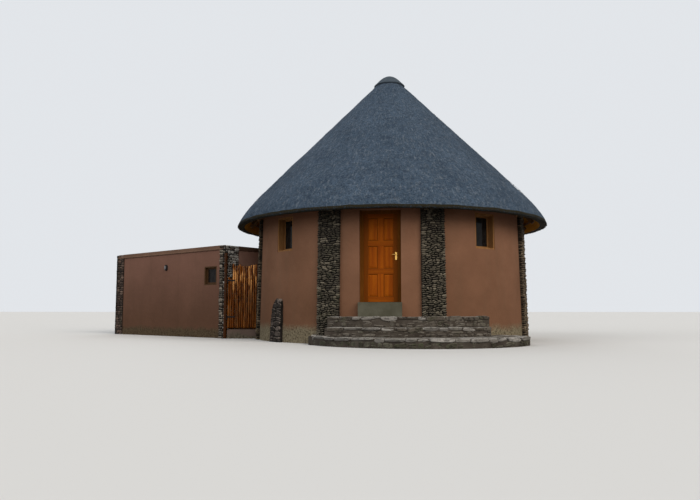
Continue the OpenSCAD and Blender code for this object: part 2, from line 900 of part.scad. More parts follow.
module annex_coping() {
    color([0.50, 0.38, 0.33])
        difference() {
            annex_block(-annex_len + corner_out - coping_out, -corner_out + coping_out,
                corner_out - coping_out, annex_depth - corner_out + coping_out, wall_top_z, annex_h);
            annex_block(-annex_len + annex_room + coping_out, -annex_room - coping_out,
                annex_room + coping_out, annex_depth - annex_room - coping_out,
                wall_top_z - slack, annex_h + slack);
            annex_corners();
            wall_body();
        }
}

// A stone corner, as two leaves of stonework that lap the walls' outer faces
module stone_corner(front_w, side_w) {
    linear_extrude(annex_h)
        polygon([[0, 0], [0, side_w], [-corner_out, side_w], [-corner_out, corner_out],
            [-front_w, corner_out], [-front_w, 0]]);
}

module annex_corners() {
    color([0.27, 0.27, 0.25])
        annex_place() {
            stone_corner(corner_front_w, corner_side_w);
            translate([-annex_len, 0, 0]) mirror([1, 0, 0]) stone_corner(corner_far_w, corner_far_w);
            translate([-annex_len, annex_depth, 0]) rotate([0, 0, 180])
                stone_corner(corner_far_w, corner_far_w);
        }
}

lamp_back_t = 15;
lamp_shell_t = 12;
lamp_mouth = 0.4;       // share of the lamp's height that its open mouth reaches up
lamp_mouth_gap = 4;     // distance from the back plate to the mouth's middle

// Wall lamp: a back plate and a round body that is open below
module annex_lamp() {
    color([0.06, 0.06, 0.06])
        annex_place()
            translate([-lamp_from, corner_out, lamp_z - lamp_h / 2])
                union() {
                    translate([-lamp_w / 2, -lamp_back_t, 0]) cube([lamp_w, lamp_back_t, lamp_h]);
                    difference() {
                        translate([0, -lamp_back_t, 0]) cylinder(h = lamp_h, r = lamp_w / 2);
                        translate([-lamp_w, 0, -slack]) cube([2 * lamp_w, lamp_w, lamp_h + 2 * slack]);
                        translate([0, -lamp_back_t - lamp_mouth_gap, -slack])
                            cylinder(h = lamp_h * lamp_mouth, r = lamp_w / 2 - lamp_shell_t);
                    }
                }
}

// Gate: its own frame has its origin at the post, +Y towards the hut's axis, +X to the front
module gate_place() {
    at(post_phi) translate([0, -post_dist, 0]) children();
}

module gate_post() {
    color([0.28, 0.17, 0.10])
        difference() {
            gate_place() cylinder(h = post_h, r = post_r);
            annex_block(-post_r, 0, -2 * post_r, 4 * post_r, -slack, post_h + slack);
        }
}

module gate_stick(k) {
    top = k < short_sticks ? gate_short_top : gate_top;
    translate([0, gate_start + stick_r + k * stick_pitch, gate_bottom])
        cylinder(h = top - gate_bottom, r = stick_r);
}

// Upright sticks fixed to three rails at the back
module gate_leaf() {
    color([0.42, 0.17, 0.07])
        gate_place()
            union() {
                for (k = [0 : stick_count - 1]) gate_stick(k);
                for (z = rail_z)
                    translate([-rail_back, gate_start + stick_r / 2, z]) rotate([-90, 0, 0])
                        cylinder(h = gate_end - gate_start - stick_r, r = gate_rail_r);
            }
}

strap_len = 210;        // length of the gate's hinge straps
strap_h = 36;
strap_t = 6;

// Pins in front of the sticks, on arms that are fixed to the post
module gate_hinges_post() {
    color([0.12, 0.11, 0.10])
        gate_place() difference() {
            for (z = gate_hinge_z) {
                translate([gate_pin[0], gate_pin[1], z]) hinge_lower();
                translate([0, 0, z - knuckle_h]) rotate([0, 0, atan2(gate_pin[1], gate_pin[0])])
                    translate([0, -strap_t, 0]) cube([norm(gate_pin), 2 * strap_t, strap_h]);
            }
            cylinder(h = post_h, r = post_r);
        }
}

module gate_hinges_leaf() {
    color([0.12, 0.11, 0.10])
        gate_place()
            for (z = gate_hinge_z)
                difference() {
                    union() {
                        translate([gate_pin[0], gate_pin[1], z]) hinge_upper();
                        translate([stick_r, gate_pin[1], z + knuckle_gap])
                            cube([strap_t, strap_len, strap_h]);
                    }
                    translate([gate_pin[0], gate_pin[1], z - slack])
                        cylinder(h = knuckle_h * pin_share + pin_end_gap + slack, r = pin_r + pin_gap);
                }
}

kerb_back_share = 0.65; // share of the kerb's thickness that lies behind the sticks' middle
kerb_start = 70;        // distance from the post's middle to the kerb's free end
arc_steps = 5;

// Side view of the kerb: a low block whose free corner is rounded
module kerb_outline(long) {
    polygon(concat(
        [[long, 0], [long, kerb_h]],
        [for (k = [0 : arc_steps]) [kerb_start + kerb_round * (1 - sin(90 * k / arc_steps)),
            kerb_h - kerb_round * (1 - cos(90 * k / arc_steps))]],
        [[kerb_start, 0]]));
}

module gate_kerb() {
    color([0.44, 0.35, 0.31])
        difference() {
            gate_place()
                translate([-kerb_t * kerb_back_share, 0, 0]) rotate([90, 0, 90])
                    linear_extrude(kerb_t) kerb_outline(post_dist - wall_inner_r);
            wall_body();
            annex_corners();
        }
}

floor_fill();
floor_slab();
wall_door_left();
wall_door_right();
wall_over_door();
wall_window_left();
wall_window_right();
wall_left_rear();
wall_right_rear();
wall_back();
pilasters_front();
pilasters_side();
pilasters_rear();
wall_plate();
rafters();
roof_laths();
thatch();
roof_cap();
door_threshold();
door_frame();
door_leaf();
door_panels();
door_handle();
door_hinges_frame();
door_hinges_leaf();
window_frames();
window_panes();
step_lowest();
step_middle();
step_top();
stone_stub();
annex_front_wall();
annex_left_wall();
annex_rear_wall();
annex_right_wall();
annex_floor();
annex_roof();
annex_coping();
annex_corners();
annex_lamp();
gate_post();
gate_leaf();
gate_hinges_post();
gate_hinges_leaf();
gate_kerb();
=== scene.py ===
"""Dresses the rondavel hut: stonework, thatch, sticks, mouldings and finishes round the plain model."""
import math
import random
from itertools import product

import bmesh
import bpy
import numpy as np
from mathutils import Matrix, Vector, noise


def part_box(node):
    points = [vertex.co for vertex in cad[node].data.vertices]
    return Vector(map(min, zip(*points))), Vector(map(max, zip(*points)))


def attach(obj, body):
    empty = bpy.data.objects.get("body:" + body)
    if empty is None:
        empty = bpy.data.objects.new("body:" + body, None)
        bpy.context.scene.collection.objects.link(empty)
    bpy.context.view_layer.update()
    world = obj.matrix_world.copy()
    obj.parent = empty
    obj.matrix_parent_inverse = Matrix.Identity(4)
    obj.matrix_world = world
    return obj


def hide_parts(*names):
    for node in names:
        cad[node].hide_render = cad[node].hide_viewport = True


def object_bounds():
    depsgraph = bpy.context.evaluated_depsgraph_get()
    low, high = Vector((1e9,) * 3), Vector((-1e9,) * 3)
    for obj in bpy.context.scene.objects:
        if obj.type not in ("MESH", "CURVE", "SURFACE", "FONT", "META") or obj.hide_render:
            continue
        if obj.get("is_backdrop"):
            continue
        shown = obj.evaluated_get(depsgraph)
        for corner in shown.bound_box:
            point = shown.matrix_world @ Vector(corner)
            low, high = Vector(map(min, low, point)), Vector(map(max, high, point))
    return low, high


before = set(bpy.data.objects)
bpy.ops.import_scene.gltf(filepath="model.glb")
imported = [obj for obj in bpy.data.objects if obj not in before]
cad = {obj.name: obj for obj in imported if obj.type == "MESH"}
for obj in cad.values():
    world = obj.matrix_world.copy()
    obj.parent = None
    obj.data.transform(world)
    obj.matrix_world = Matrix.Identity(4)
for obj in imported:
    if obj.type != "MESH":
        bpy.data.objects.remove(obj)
cad_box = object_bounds()

# Angles round the hut, counted in degrees from the door, positive towards +X
FRONT_PHI = 19.4
SIDE_PHI = 75
REAR_PHI = 127.5
# Sizes in metres that the nodes' boxes don't give by themselves
PILASTER_W = 0.575
# The annex: its turn in degrees, then where the hut's axis lies from its right front corner, and its size
ANNEX_TURN = 32.5
ANNEX_SIDE = 3.5
ANNEX_AHEAD = 2.992
ANNEX_LEN = 5.505
ANNEX_DEPTH = 3.6


def points_of(node):
    return np.array([v.co for v in cad[node].data.vertices])


def radius_at(node, height, tolerance=0.002):
    """The largest distance from the hut's axis among a node's points at a height."""
    co = points_of(node)
    ring = co[np.abs(co[:, 2] - height) < tolerance]
    return float(np.hypot(ring[:, 0], ring[:, 1]).max())


WALL_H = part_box("wall_back")[1].z
WALL_BASE_R = radius_at("wall_back", 0)
WALL_TOP_R = radius_at("wall_back", WALL_H)
WALL_LEAN = (WALL_BASE_R - WALL_TOP_R) / WALL_H
PILASTER_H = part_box("pilasters_rear")[1].z
PILASTER_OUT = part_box("pilasters_rear")[1].y - WALL_BASE_R


def wall_r(z):
    return WALL_BASE_R - WALL_LEAN * z


def direction(phi):
    return Vector((math.sin(math.radians(phi)), -math.cos(math.radians(phi)), 0))


# Camera at the photograph's place
CAMERA_AT = (1.204, -18.243, 0.757)
CAMERA_TURN = 7.290
CAMERA_UP = 5.266
FOCAL_PX = 658.74
IMAGE_W = 700
SENSOR_W = 36


def make_camera():
    data = bpy.data.cameras.new("camera")
    data.sensor_width = SENSOR_W
    data.lens = FOCAL_PX * SENSOR_W / IMAGE_W
    data.clip_end = 500
    camera = bpy.data.objects.new("camera", data)
    camera.location = CAMERA_AT
    camera.rotation_euler = (math.radians(90 + CAMERA_UP), 0, math.radians(CAMERA_TURN))
    bpy.context.scene.collection.objects.link(camera)
    bpy.context.scene.camera = camera


# Finishes
FINISHES = {}


def shade(colour, share):
    return tuple(part * share for part in colour)


class Finish:
    """A material whose colour and relief are laid on one layer at a time."""

    def __init__(self, name, colour=None):
        self.material = bpy.data.materials.new(name)
        self.material.use_nodes = True
        self.tree = self.material.node_tree
        self.shader = self.tree.nodes["Principled BSDF"]
        self.place = self.add("ShaderNodeTexCoord").outputs["Object"]
        self.colour = colour
        self.normal = None
        FINISHES[name] = self.material

    def add(self, kind, inputs=(), **settings):
        node = self.tree.nodes.new(kind)
        for key, value in settings.items():
            setattr(node, key, value)
        for key, value in dict(inputs).items():
            self.put(node.inputs[key], value)
        return node

    def put(self, socket, value):
        if isinstance(value, bpy.types.NodeSocket):
            self.tree.links.new(value, socket)
        else:
            socket.default_value = value

    def stretched(self, x, y, z):
        return self.add("ShaderNodeMapping", {"Vector": self.place, "Scale": (x, y, z)}).outputs["Vector"]

    def noise(self, scale, detail=3, roughness=0.6, place=None, distortion=0):
        return self.add("ShaderNodeTexNoise", {
            "Vector": place or self.place, "Scale": scale, "Detail": detail,
            "Roughness": roughness, "Distortion": distortion}).outputs["Fac"]

    def calc(self, operation, a, b):
        return self.add("ShaderNodeMath", {0: a, 1: b}, operation=operation).outputs[0]

    def vector(self, operation, *inputs):
        return self.add("ShaderNodeVectorMath", enumerate(inputs), operation=operation).outputs[0]

    def combine(self, **parts):
        return self.add("ShaderNodeCombineXYZ", parts).outputs[0]

    def axis(self, name, place=None):
        return self.add("ShaderNodeSeparateXYZ", {"Vector": place or self.place}).outputs[name]

    def own(self, name="tint"):
        """A number that each stone, board or stalk has for itself."""
        return self.add("ShaderNodeAttribute", attribute_name=name).outputs["Fac"]

    def ramp(self, factor, *stops):
        """A colour ramp from stops of (position, grey or colour)."""
        node = self.add("ShaderNodeValToRGB", {"Fac": factor})
        marks = node.color_ramp.elements
        while len(marks) < len(stops):
            marks.new(0.5)
        for mark, (position, colour) in zip(marks, stops):
            mark.position = position
            mark.color = (*colour, 1) if isinstance(colour, tuple) else (colour, colour, colour, 1)
        return node.outputs["Color"]

    def mix(self, factor, a, b, blend="MIX"):
        node = self.add("ShaderNodeMix", {"Factor": factor}, data_type="RGBA", blend_type=blend)
        for socket, colour in ((node.inputs[6], a), (node.inputs[7], b)):
            self.put(socket, (*colour, 1) if isinstance(colour, tuple) else colour)
        return node.outputs[2]

    def stain(self, pattern, start, end, colour):
        """Lays a colour on, as strongly as a ramp over the pattern says from its start to its end."""
        self.colour = self.mix(self.ramp(pattern, start, end), self.colour, colour)

    def bump(self, height, distance, strength):
        inputs = {"Height": height, "Distance": distance, "Strength": strength}
        if self.normal:
            inputs["Normal"] = self.normal
        self.normal = self.add("ShaderNodeBump", inputs).outputs["Normal"]

    def finish(self, roughness, specular=None, **others):
        values = {"Base Color": self.colour, "Roughness": roughness, "Specular IOR Level": specular,
                  "Normal": self.normal}
        values.update((key.replace("_", " "), value) for key, value in others.items())
        for key, value in values.items():
            if value is not None:
                self.put(self.shader.inputs[key], value)


def plaster_finish(name, pale, deep, dirt, splash_top, low_darkening=None, low_darkening_top=1.0):
    """Trowelled, painted plaster with soft patches, streaks and a dirty band near the ground.

    Where the last two arguments are given, the colour darkens by the first of them from the second, a height,
    down to the wall's foot."""
    f = Finish(name, deep)
    f.stain(f.noise(0.9, 5), (0.35, 0), (0.68, 1), pale)
    streaks = f.noise(1, 4, place=f.stretched(3.2, 3.2, 0.35))
    f.stain(streaks, (0.5, 0), (0.75, 0.14), dirt)
    f.stain(f.noise(34, 2, 0.5), (0.60, 0), (0.74, 0.30), deep)
    # The colour is darker towards the wall's foot.
    if low_darkening:
        height = f.calc("DIVIDE", f.axis("Z"), low_darkening_top)
        f.colour = f.mix(1.0, f.colour, f.ramp(height, (0.2, low_darkening), (1.0, (1, 1, 1))), "MULTIPLY")
    ragged = f.calc("MULTIPLY", f.noise(2.6, 5, 0.7), 0.30)
    rise = f.calc("ADD", f.axis("Z"), ragged)
    grime = f.ramp(f.noise(24, 5, 0.7), (0.36, shade(dirt, 0.28)), (0.46, dirt), (0.60, shade(dirt, 1.8)))
    f.stain(f.calc("DIVIDE", rise, splash_top), (0.72, 0.85), (1.0, 0), grime)
    f.bump(f.noise(5, 4, 0.55), 0.018, 0.55)
    f.bump(f.noise(130), 0.0015, 0.6)
    f.finish(1.0, 0.12)


def stone_finish(name, dark, mid, light, moss=(0.055, 0.058, 0.030), mossy=0.25, pits=0.0):
    """Split stone: each one has its own shade, with layers, a painted highlight on up-facing faces, some moss
    and a rough face.
    """
    f = Finish(name)
    f.colour = f.ramp(f.own(), (0.0, dark), (0.55, mid), (1.0, light))
    layers = f.noise(1, 4, 0.65, f.stretched(8, 8, 45))
    f.stain(layers, (0.40, 0.6), (0.60, 0), dark)
    f.stain(f.noise(48, 4), (0.57, 0), (0.72, 0.5), light)
    # Faces turned upwards are painted paler: a painted highlight where light from above falls.
    painted_top_light = f.axis("Z", f.add("ShaderNodeNewGeometry").outputs["Normal"])
    f.stain(painted_top_light, (0.25, 0), (0.75, 0.65), light)
    f.stain(f.noise(4.5, 4), (0.52, 0), (0.68, mossy), moss)
    f.bump(layers, 0.006, 0.7)
    if pits:
        broken = f.noise(11, 5, 0.7, f.stretched(1, 1, 1.8))
        f.stain(broken, (0.40, pits), (0.49, 0), shade(dark, 0.35))
        f.bump(broken, 0.02, 0.8)
    f.bump(f.noise(150, 3, 0.65), 0.002, 0.8)
    f.finish(0.85, 0.2)


def mortar_finish(name, dark, light, size=40, relief=0.004):
    """Mortar, cement or rubble with soft patches and dark grit."""
    f = Finish(name, dark)
    f.stain(f.noise(3, 5), (0.35, 0), (0.66, 1), light)
    f.stain(f.noise(size * 3), (0.55, 0), (0.7, 0.35), dark)
    f.bump(f.noise(size, 4), relief, 0.8)
    f.finish(0.95, 0.15)


def thatch_finish():
    """Weathered grass: soft blue-grey mottling, faint strokes down the slope and a few pale ends."""
    f = Finish("thatch_outside", (0.042, 0.066, 0.100))
    round_the_hut = f.vector("NORMALIZE", f.combine(X=f.axis("X"), Y=f.axis("Y")))
    drawn = f.vector("ADD", round_the_hut, f.combine(Z=f.calc("MULTIPLY", f.axis("Z"), 0.14)))
    f.stain(f.noise(1.1, 5), (0.34, 0), (0.70, 1), (0.070, 0.104, 0.150))
    f.stain(f.noise(7.5, 4, 0.62), (0.38, 0.60), (0.60, 0), (0.026, 0.041, 0.064))
    strokes = f.noise(62, 4, 0.62, drawn)
    f.stain(strokes, (0.52, 0), (0.70, 0.75), (0.130, 0.158, 0.190))
    butts = f.noise(30, 4, 0.68)
    f.stain(butts, (0.36, 0.8), (0.52, 0), (0.016, 0.026, 0.043))
    f.stain(f.noise(17, 4, 0.65), (0.55, 0), (0.72, 0.65), (0.138, 0.166, 0.198))
    f.stain(f.noise(2.6, 4), (0.60, 0), (0.80, 0.22), (0.070, 0.070, 0.060))
    f.bump(butts, 0.020, 0.9)
    f.bump(strokes, 0.012, 0.6)
    f.bump(f.noise(120, 2), 0.005, 0.8)
    f.finish(1.0, 0.15)


def straw_finish(name, dark, mid, light, grain=96):
    """Stalks, for the thatch's underside, its cut edge and its loose stalks."""
    f = Finish(name)
    f.colour = f.ramp(f.own(), (0.0, dark), (0.55, mid), (1.0, light))
    stalks = f.noise(grain)
    f.stain(stalks, (0.42, 0.6), (0.6, 0), dark)
    f.bump(stalks, 0.01, 0.8)
    f.finish(0.95, 0.1)


def wood_finish(name, dark, mid, light, roughness, darker_left_of=None):
    """Sawn timber: rings drawn out along the board and fine pores.

    The last argument is the X place in metres to whose left the timber is darker."""
    f = Finish(name)
    place = f.stretched(1, 1, 0.06)
    f.colour = f.ramp(f.noise(7, 5, 0.6, place, 1.2), (0.30, dark), (0.5, mid), (0.72, light))
    fine = f.noise(112, place=place)
    f.stain(fine, (0.45, 0.5), (0.62, 0), dark)
    # Left of the given X place the timber is darkened.
    if darker_left_of is not None:
        left_part = f.calc("LESS_THAN", f.axis("X"), darker_left_of)
        f.colour = f.mix(f.calc("MULTIPLY", left_part, 0.78), f.colour, (0.010, 0.006, 0.004))
    f.bump(fine, 0.0012, 0.6)
    f.finish(roughness, 0.08)


def door_wood_finish():
    """Orange varnished boards: the grain of a rail lies level, that of a stile or panel upright."""
    f = Finish("door_boards")
    own = f.own()
    grain = f.mix(f.own("level"), f.stretched(1, 1, 0.05), f.stretched(0.05, 1, 1))
    place = f.vector("ADD", grain, f.combine(X=f.calc("MULTIPLY", own, 3.1), Y=own))
    f.colour = f.ramp(f.noise(9, 4, 0.5, place, 0.8), (0.30, (0.175, 0.033, 0.0005)),
                      (0.5, (0.245, 0.052, 0.0008)), (0.72, (0.320, 0.079, 0.0015)))
    fine = f.noise(170, place=place)
    f.stain(fine, (0.42, 0.30), (0.58, 0), (0.15, 0.030, 0.001))
    # A low shade darkens a board to brown; on the beads round the panels it is painted shade.
    f.stain(own, (0.0, 0.95), (0.4, 0), (0.105, 0.027, 0.0005))
    f.bump(fine, 0.0006, 0.5)
    f.finish(0.6, 0.06)


def stick_finish():
    """Peeled, varnished sticks: red-brown with dark bark scars, and pale patches higher up that are painted
    glints.
    """
    f = Finish("varnished_sticks")
    own = f.own()
    f.colour = f.ramp(own, (0.0, (0.054, 0.016, 0.002)), (0.35, (0.090, 0.020, 0.001)),
                      (1.0, (0.230, 0.060, 0.001)))
    drawn = f.stretched(1, 1, 0.16)
    bark = f.noise(24, 5, 0.65, drawn, 0.8)
    f.stain(bark, (0.40, 0.85), (0.52, 0), (0.018, 0.007, 0.002))
    glint_spots = f.noise(13, 4, place=drawn)
    height = f.ramp(f.calc("DIVIDE", f.axis("Z"), 2.4), (0.45, 0.10), (0.74, 1))
    f.stain(height, (0.10, 0.36), (0.9, 0), (0.040, 0.010, 0.0005))
    # Pale patches high up on some sticks: painted glints.
    share = f.calc("MULTIPLY", height, f.ramp(own, (0.25, 0), (0.4, 1)))
    painted_glints = f.calc("MULTIPLY", f.ramp(glint_spots, (0.50, 0), (0.58, 1)), share)
    f.colour = f.mix(painted_glints, f.colour, (0.72, 0.33, 0.10))
    f.bump(bark, 0.005, 0.9)
    f.finish(0.5, 0.06, Coat_Weight=0.08, Coat_Roughness=0.12)


def metal_finish(name, base, worn, rough, metallic=1.0):
    """Metal or paint with worn, scratched places."""
    f = Finish(name, base)
    wear = f.noise(60, 4)
    f.stain(wear, (0.52, 0), (0.70, 1), worn)
    f.bump(wear, 0.0006, 0.5)
    scratched = f.ramp(f.noise(220), (0.3, rough - 0.08), (0.7, rough + 0.12))
    f.finish(scratched, 0.5 if metallic else 0.12, Metallic=metallic)


def glass_finish():
    """Dusty window glass, darkened by painted shade of the unlit room behind it."""
    f = Finish("window_glass", (0.011, 0.0095, 0.009))
    dust = f.noise(9, 5)
    f.stain(dust, (0.4, 0), (0.75, 1), (0.030, 0.027, 0.025))
    f.finish(f.ramp(dust, (0.4, 0.05), (0.8, 0.2)), Transmission_Weight=0.35, IOR=1.25)


def make_finishes():
    plaster_finish("hut_plaster", (0.226, 0.112, 0.067), (0.170, 0.084, 0.049), (0.120, 0.105, 0.068), 0.62,
                   low_darkening=(0.72, 0.71, 0.67), low_darkening_top=2.9)
    plaster_finish("annex_plaster", (0.176, 0.089, 0.063), (0.146, 0.074, 0.052), (0.052, 0.039, 0.022),
                   0.46, low_darkening=(0.60, 0.59, 0.50), low_darkening_top=2.3)
    plaster_finish("coping_plaster", (0.160, 0.092, 0.062), (0.105, 0.060, 0.040), (0.070, 0.055, 0.038),
                   0.85)
    plaster_finish("kerb_plaster", (0.125, 0.086, 0.070), (0.087, 0.060, 0.048), (0.066, 0.056, 0.040), 0.30)
    # A much paler copy of the plaster: painted light for the annex's right wall, which lies in the hut's
    # shade.
    plaster_finish("side_plaster_painted_light", (0.400, 0.235, 0.180), (0.310, 0.180, 0.136), (0.080, 0.062, 0.042), 0.46)
    stone_finish("slate", (0.003, 0.0023, 0.0015), (0.012, 0.0092, 0.0055), (0.19, 0.163, 0.120))
    stone_finish("brown_slate", (0.008, 0.0052, 0.0028), (0.032, 0.022, 0.012), (0.24, 0.18, 0.12))
    stone_finish("dim_slate", (0.007, 0.0042, 0.0030), (0.028, 0.016, 0.011), (0.19, 0.130, 0.100))
    stone_finish("corner_slate", (0.006, 0.0042, 0.0030), (0.032, 0.022, 0.015), (0.40, 0.34, 0.27))
    # A much paler copy of the slate: painted light for the right corner's side leaf, which lies in shade.
    stone_finish("pale_slate_painted_light", (0.014, 0.012, 0.010), (0.34, 0.32, 0.28), (0.85, 0.82, 0.76))
    stone_finish("stub_slate", (0.009, 0.0065, 0.0050), (0.034, 0.025, 0.020), (0.25, 0.20, 0.17), pits=0.9)
    stone_finish("step_stone", (0.046, 0.037, 0.028), (0.098, 0.083, 0.066), (0.170, 0.152, 0.128),
                 (0.058, 0.060, 0.032), 0.45, 0.9)
    stone_finish("low_stone", (0.026, 0.022, 0.014), (0.058, 0.053, 0.036), (0.125, 0.116, 0.088),
                 (0.045, 0.050, 0.024), 0.6, 0.9)
    stone_finish("rim_stone", (0.100, 0.091, 0.081), (0.195, 0.178, 0.160), (0.370, 0.350, 0.322),
                 (0.080, 0.078, 0.050), 0.35, 0.6)
    mortar_finish("joint_mortar", (0.006, 0.005, 0.004), (0.016, 0.013, 0.010))
    mortar_finish("step_mortar", (0.034, 0.027, 0.021), (0.074, 0.062, 0.050), 12, 0.015)
    mortar_finish("cement", (0.058, 0.055, 0.037), (0.088, 0.084, 0.061), 22, 0.003)
    mortar_finish("slab_cement", (0.10, 0.09, 0.078), (0.17, 0.155, 0.135), 18, 0.004)
    mortar_finish("screed", (0.16, 0.145, 0.12), (0.23, 0.21, 0.18), 12, 0.001)
    mortar_finish("rubble", (0.10, 0.075, 0.055), (0.17, 0.13, 0.10), 14, 0.02)
    mortar_finish("roof_mortar", (0.040, 0.054, 0.070), (0.068, 0.086, 0.104), 16, 0.008)
    thatch_finish()
    # The underside's straw, made brighter and warmer: painted bounced light under the eave.
    straw_finish("thatch_underside_painted_light", (0.20, 0.083, 0.003), (0.48, 0.215, 0.005), (0.60, 0.31, 0.02))
    # The cut face: dark straw ends, made darker still by painted shade along the eave's lower edge.
    straw_finish("thatch_cut_painted_shade", (0.007, 0.006, 0.004), (0.026, 0.022, 0.012), (0.055, 0.045, 0.024), 144)
    straw_finish("loose_straw", (0.026, 0.040, 0.060), (0.055, 0.080, 0.112), (0.125, 0.150, 0.175))
    wood_finish("roof_poles", (0.085, 0.043, 0.018), (0.16, 0.086, 0.038), (0.235, 0.14, 0.07), 0.75)
    wood_finish("frame_timber", (0.070, 0.023, 0.002), (0.132, 0.042, 0.003), (0.180, 0.061, 0.006), 0.8)
    # A paler timber: painted light for the hut's windows in the eave's shade. Left of X -4, at the annex's
    # window, it is darker.
    wood_finish("window_timber_painted_light", (0.16, 0.074, 0.024), (0.26, 0.125, 0.045), (0.35, 0.18, 0.07), 0.6, -4)
    door_wood_finish()
    stick_finish()
    glass_finish()
    metal_finish("frosted_glass", (0.17, 0.17, 0.18), (0.12, 0.12, 0.12), 0.5, 0.0)
    metal_finish("brass", (0.86, 0.52, 0.14), (0.55, 0.31, 0.08), 0.25)
    metal_finish("hinge_steel", (0.30, 0.27, 0.23), (0.13, 0.085, 0.055), 0.45)
    metal_finish("black_metal", (0.006, 0.006, 0.007), (0.020, 0.017, 0.015), 0.5, 0.0)


NODE_FINISHES = {
    "hut_plaster": ["wall_door_left", "wall_door_right", "wall_over_door", "wall_window_left",
                    "wall_window_right", "wall_left_rear", "wall_right_rear", "wall_back"],
    "annex_plaster": ["annex_front_wall", "annex_left_wall", "annex_rear_wall"],
    # The annex's right wall gets the paler plaster with painted light.
    "side_plaster_painted_light": ["annex_right_wall"],
    "coping_plaster": ["annex_coping"],
    "kerb_plaster": ["gate_kerb"],
    "joint_mortar": ["pilasters_front", "pilasters_side", "pilasters_rear", "annex_corners", "stone_stub"],
    "step_mortar": ["step_lowest", "step_middle", "step_top"],
    "cement": ["door_threshold"],
    "slab_cement": ["annex_roof"],
    "screed": ["floor_slab", "annex_floor"],
    "rubble": ["floor_fill"],
    "roof_mortar": ["roof_cap"],
    "thatch_outside": ["thatch"],
    "roof_poles": ["wall_plate", "rafters", "roof_laths"],
    "frame_timber": ["door_frame"],
    "window_timber_painted_light": ["window_frames"],
    "door_boards": ["door_leaf", "door_panels"],
    "varnished_sticks": ["gate_post", "gate_leaf"],
    "window_glass": ["window_panes"],
    "brass": ["door_handle"],
    "hinge_steel": ["door_hinges_frame", "door_hinges_leaf"],
    "black_metal": ["annex_lamp", "gate_hinges_post", "gate_hinges_leaf"],
}


def dress_nodes():
    for finish, names in NODE_FINISHES.items():
        for name in names:
            cad[name].data.materials.clear()
            cad[name].data.materials.append(FINISHES[finish])


# Mesh helpers
class Build:
    """Collects the faces of one joined mesh, each with a material and its own shade."""

    def __init__(self):
        self.points = []
        self.faces = []
        self.materials = []
        self.tints = []
        self.levels = []

    def add(self, points, faces, material=0, tint=0.5, level=0.0):
        """Adds one closed shape. Its material is one number, or a list with one for each face."""
        first = len(self.points)
        self.points += [(p[0], p[1], max(p[2], 0.0)) for p in points]
        self.faces += [tuple(first + i for i in face) for face in faces]
        self.materials += material if isinstance(material, list) else [material] * len(faces)
        self.tints += [tint] * len(points)
        self.levels += [level] * len(points)

    def finish(self, name, body, slot, finishes, replaces=(), smooth=False):
        mesh = bpy.data.meshes.new(name)
        mesh.from_pydata(self.points, [], self.faces)
        for finish in finishes:
            mesh.materials.append(FINISHES[finish])
        mesh.polygons.foreach_set("material_index", self.materials)
        mesh.polygons.foreach_set("use_smooth", [smooth] * len(self.faces))
        for label, values in (("tint", self.tints), ("level", self.levels)):
            mesh.attributes.new(label, "FLOAT", "POINT").data.foreach_set("value", values)
        mesh.update()
        turned = bmesh.new()
        turned.from_mesh(mesh)
        bmesh.ops.recalc_face_normals(turned, faces=turned.faces)
        turned.to_mesh(mesh)
        turned.free()
        piece = bpy.data.objects.new(name, mesh)
        bpy.context.scene.collection.objects.link(piece)
        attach(piece, body)
        if replaces:
            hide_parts(*replaces)


def tube(sides, lengths):
    """Faces between rings of points that follow each other, then the tube's first and last end."""
    faces = []
    for a in range(0, sides * lengths, sides):
        for k in range(sides):
            after = (k + 1) % sides
            faces.append((a + k, a + after, a + sides + after, a + sides + k))
    faces.append(tuple(reversed(range(sides))))
    faces.append(tuple(range(sides * lengths, sides * (lengths + 1))))
    return faces


def circle(k, count):
    turn = 2 * math.pi * k / count
    return math.cos(turn), math.sin(turn)


def inset(span, side, inward):
    """A place inwards from the lower or the upper end of a span."""
    return span[side] + (-inward if side else inward)


def split_length(rng, length, shortest, longest):
    """Cuts a length into stretches, and returns the marks between them with both ends."""
    marks = [0.0]
    while marks[-1] < length - shortest:
        marks.append(marks[-1] + rng.uniform(shortest, longest))
    return (marks[:-1] or marks) + [length]


# Stonework in metres: heights of courses, lengths of stones, then how slim the stones' ends are and how
# far they tilt
PILASTER_STONES = {"rises": (0.034, 0.056), "lengths": (0.06, 0.16), "slim": 0.9, "tilt": 0.12}
STUB_STONES = {"rises": (0.080, 0.150), "lengths": (0.14, 0.32), "slim": 0.7, "tilt": 0.14}
RISER_STONES = {"rises": (0.050, 0.115), "lengths": (0.09, 0.32), "slim": 0.25, "tilt": 0.10}
END_STONES = {"rises": (0.055, 0.10), "lengths": (0.12, 0.30), "slim": 0.5, "tilt": 0.04}
CORNER_STONES = {"rises": (0.045, 0.085), "lengths": (0.07, 0.20), "slim": 0.8, "tilt": 0.06}
STONE_ROUND = 0.011     # how far a stone's edges are worn back
STONE_SIDES = 10
JOINT = 0.005           # half of the gap between two stones side by side
LAST_COURSE = 0.012     # a lower rest of the height gets no course
SPLIT_RISE = 0.062      # a course higher than this may hold two stones over each other


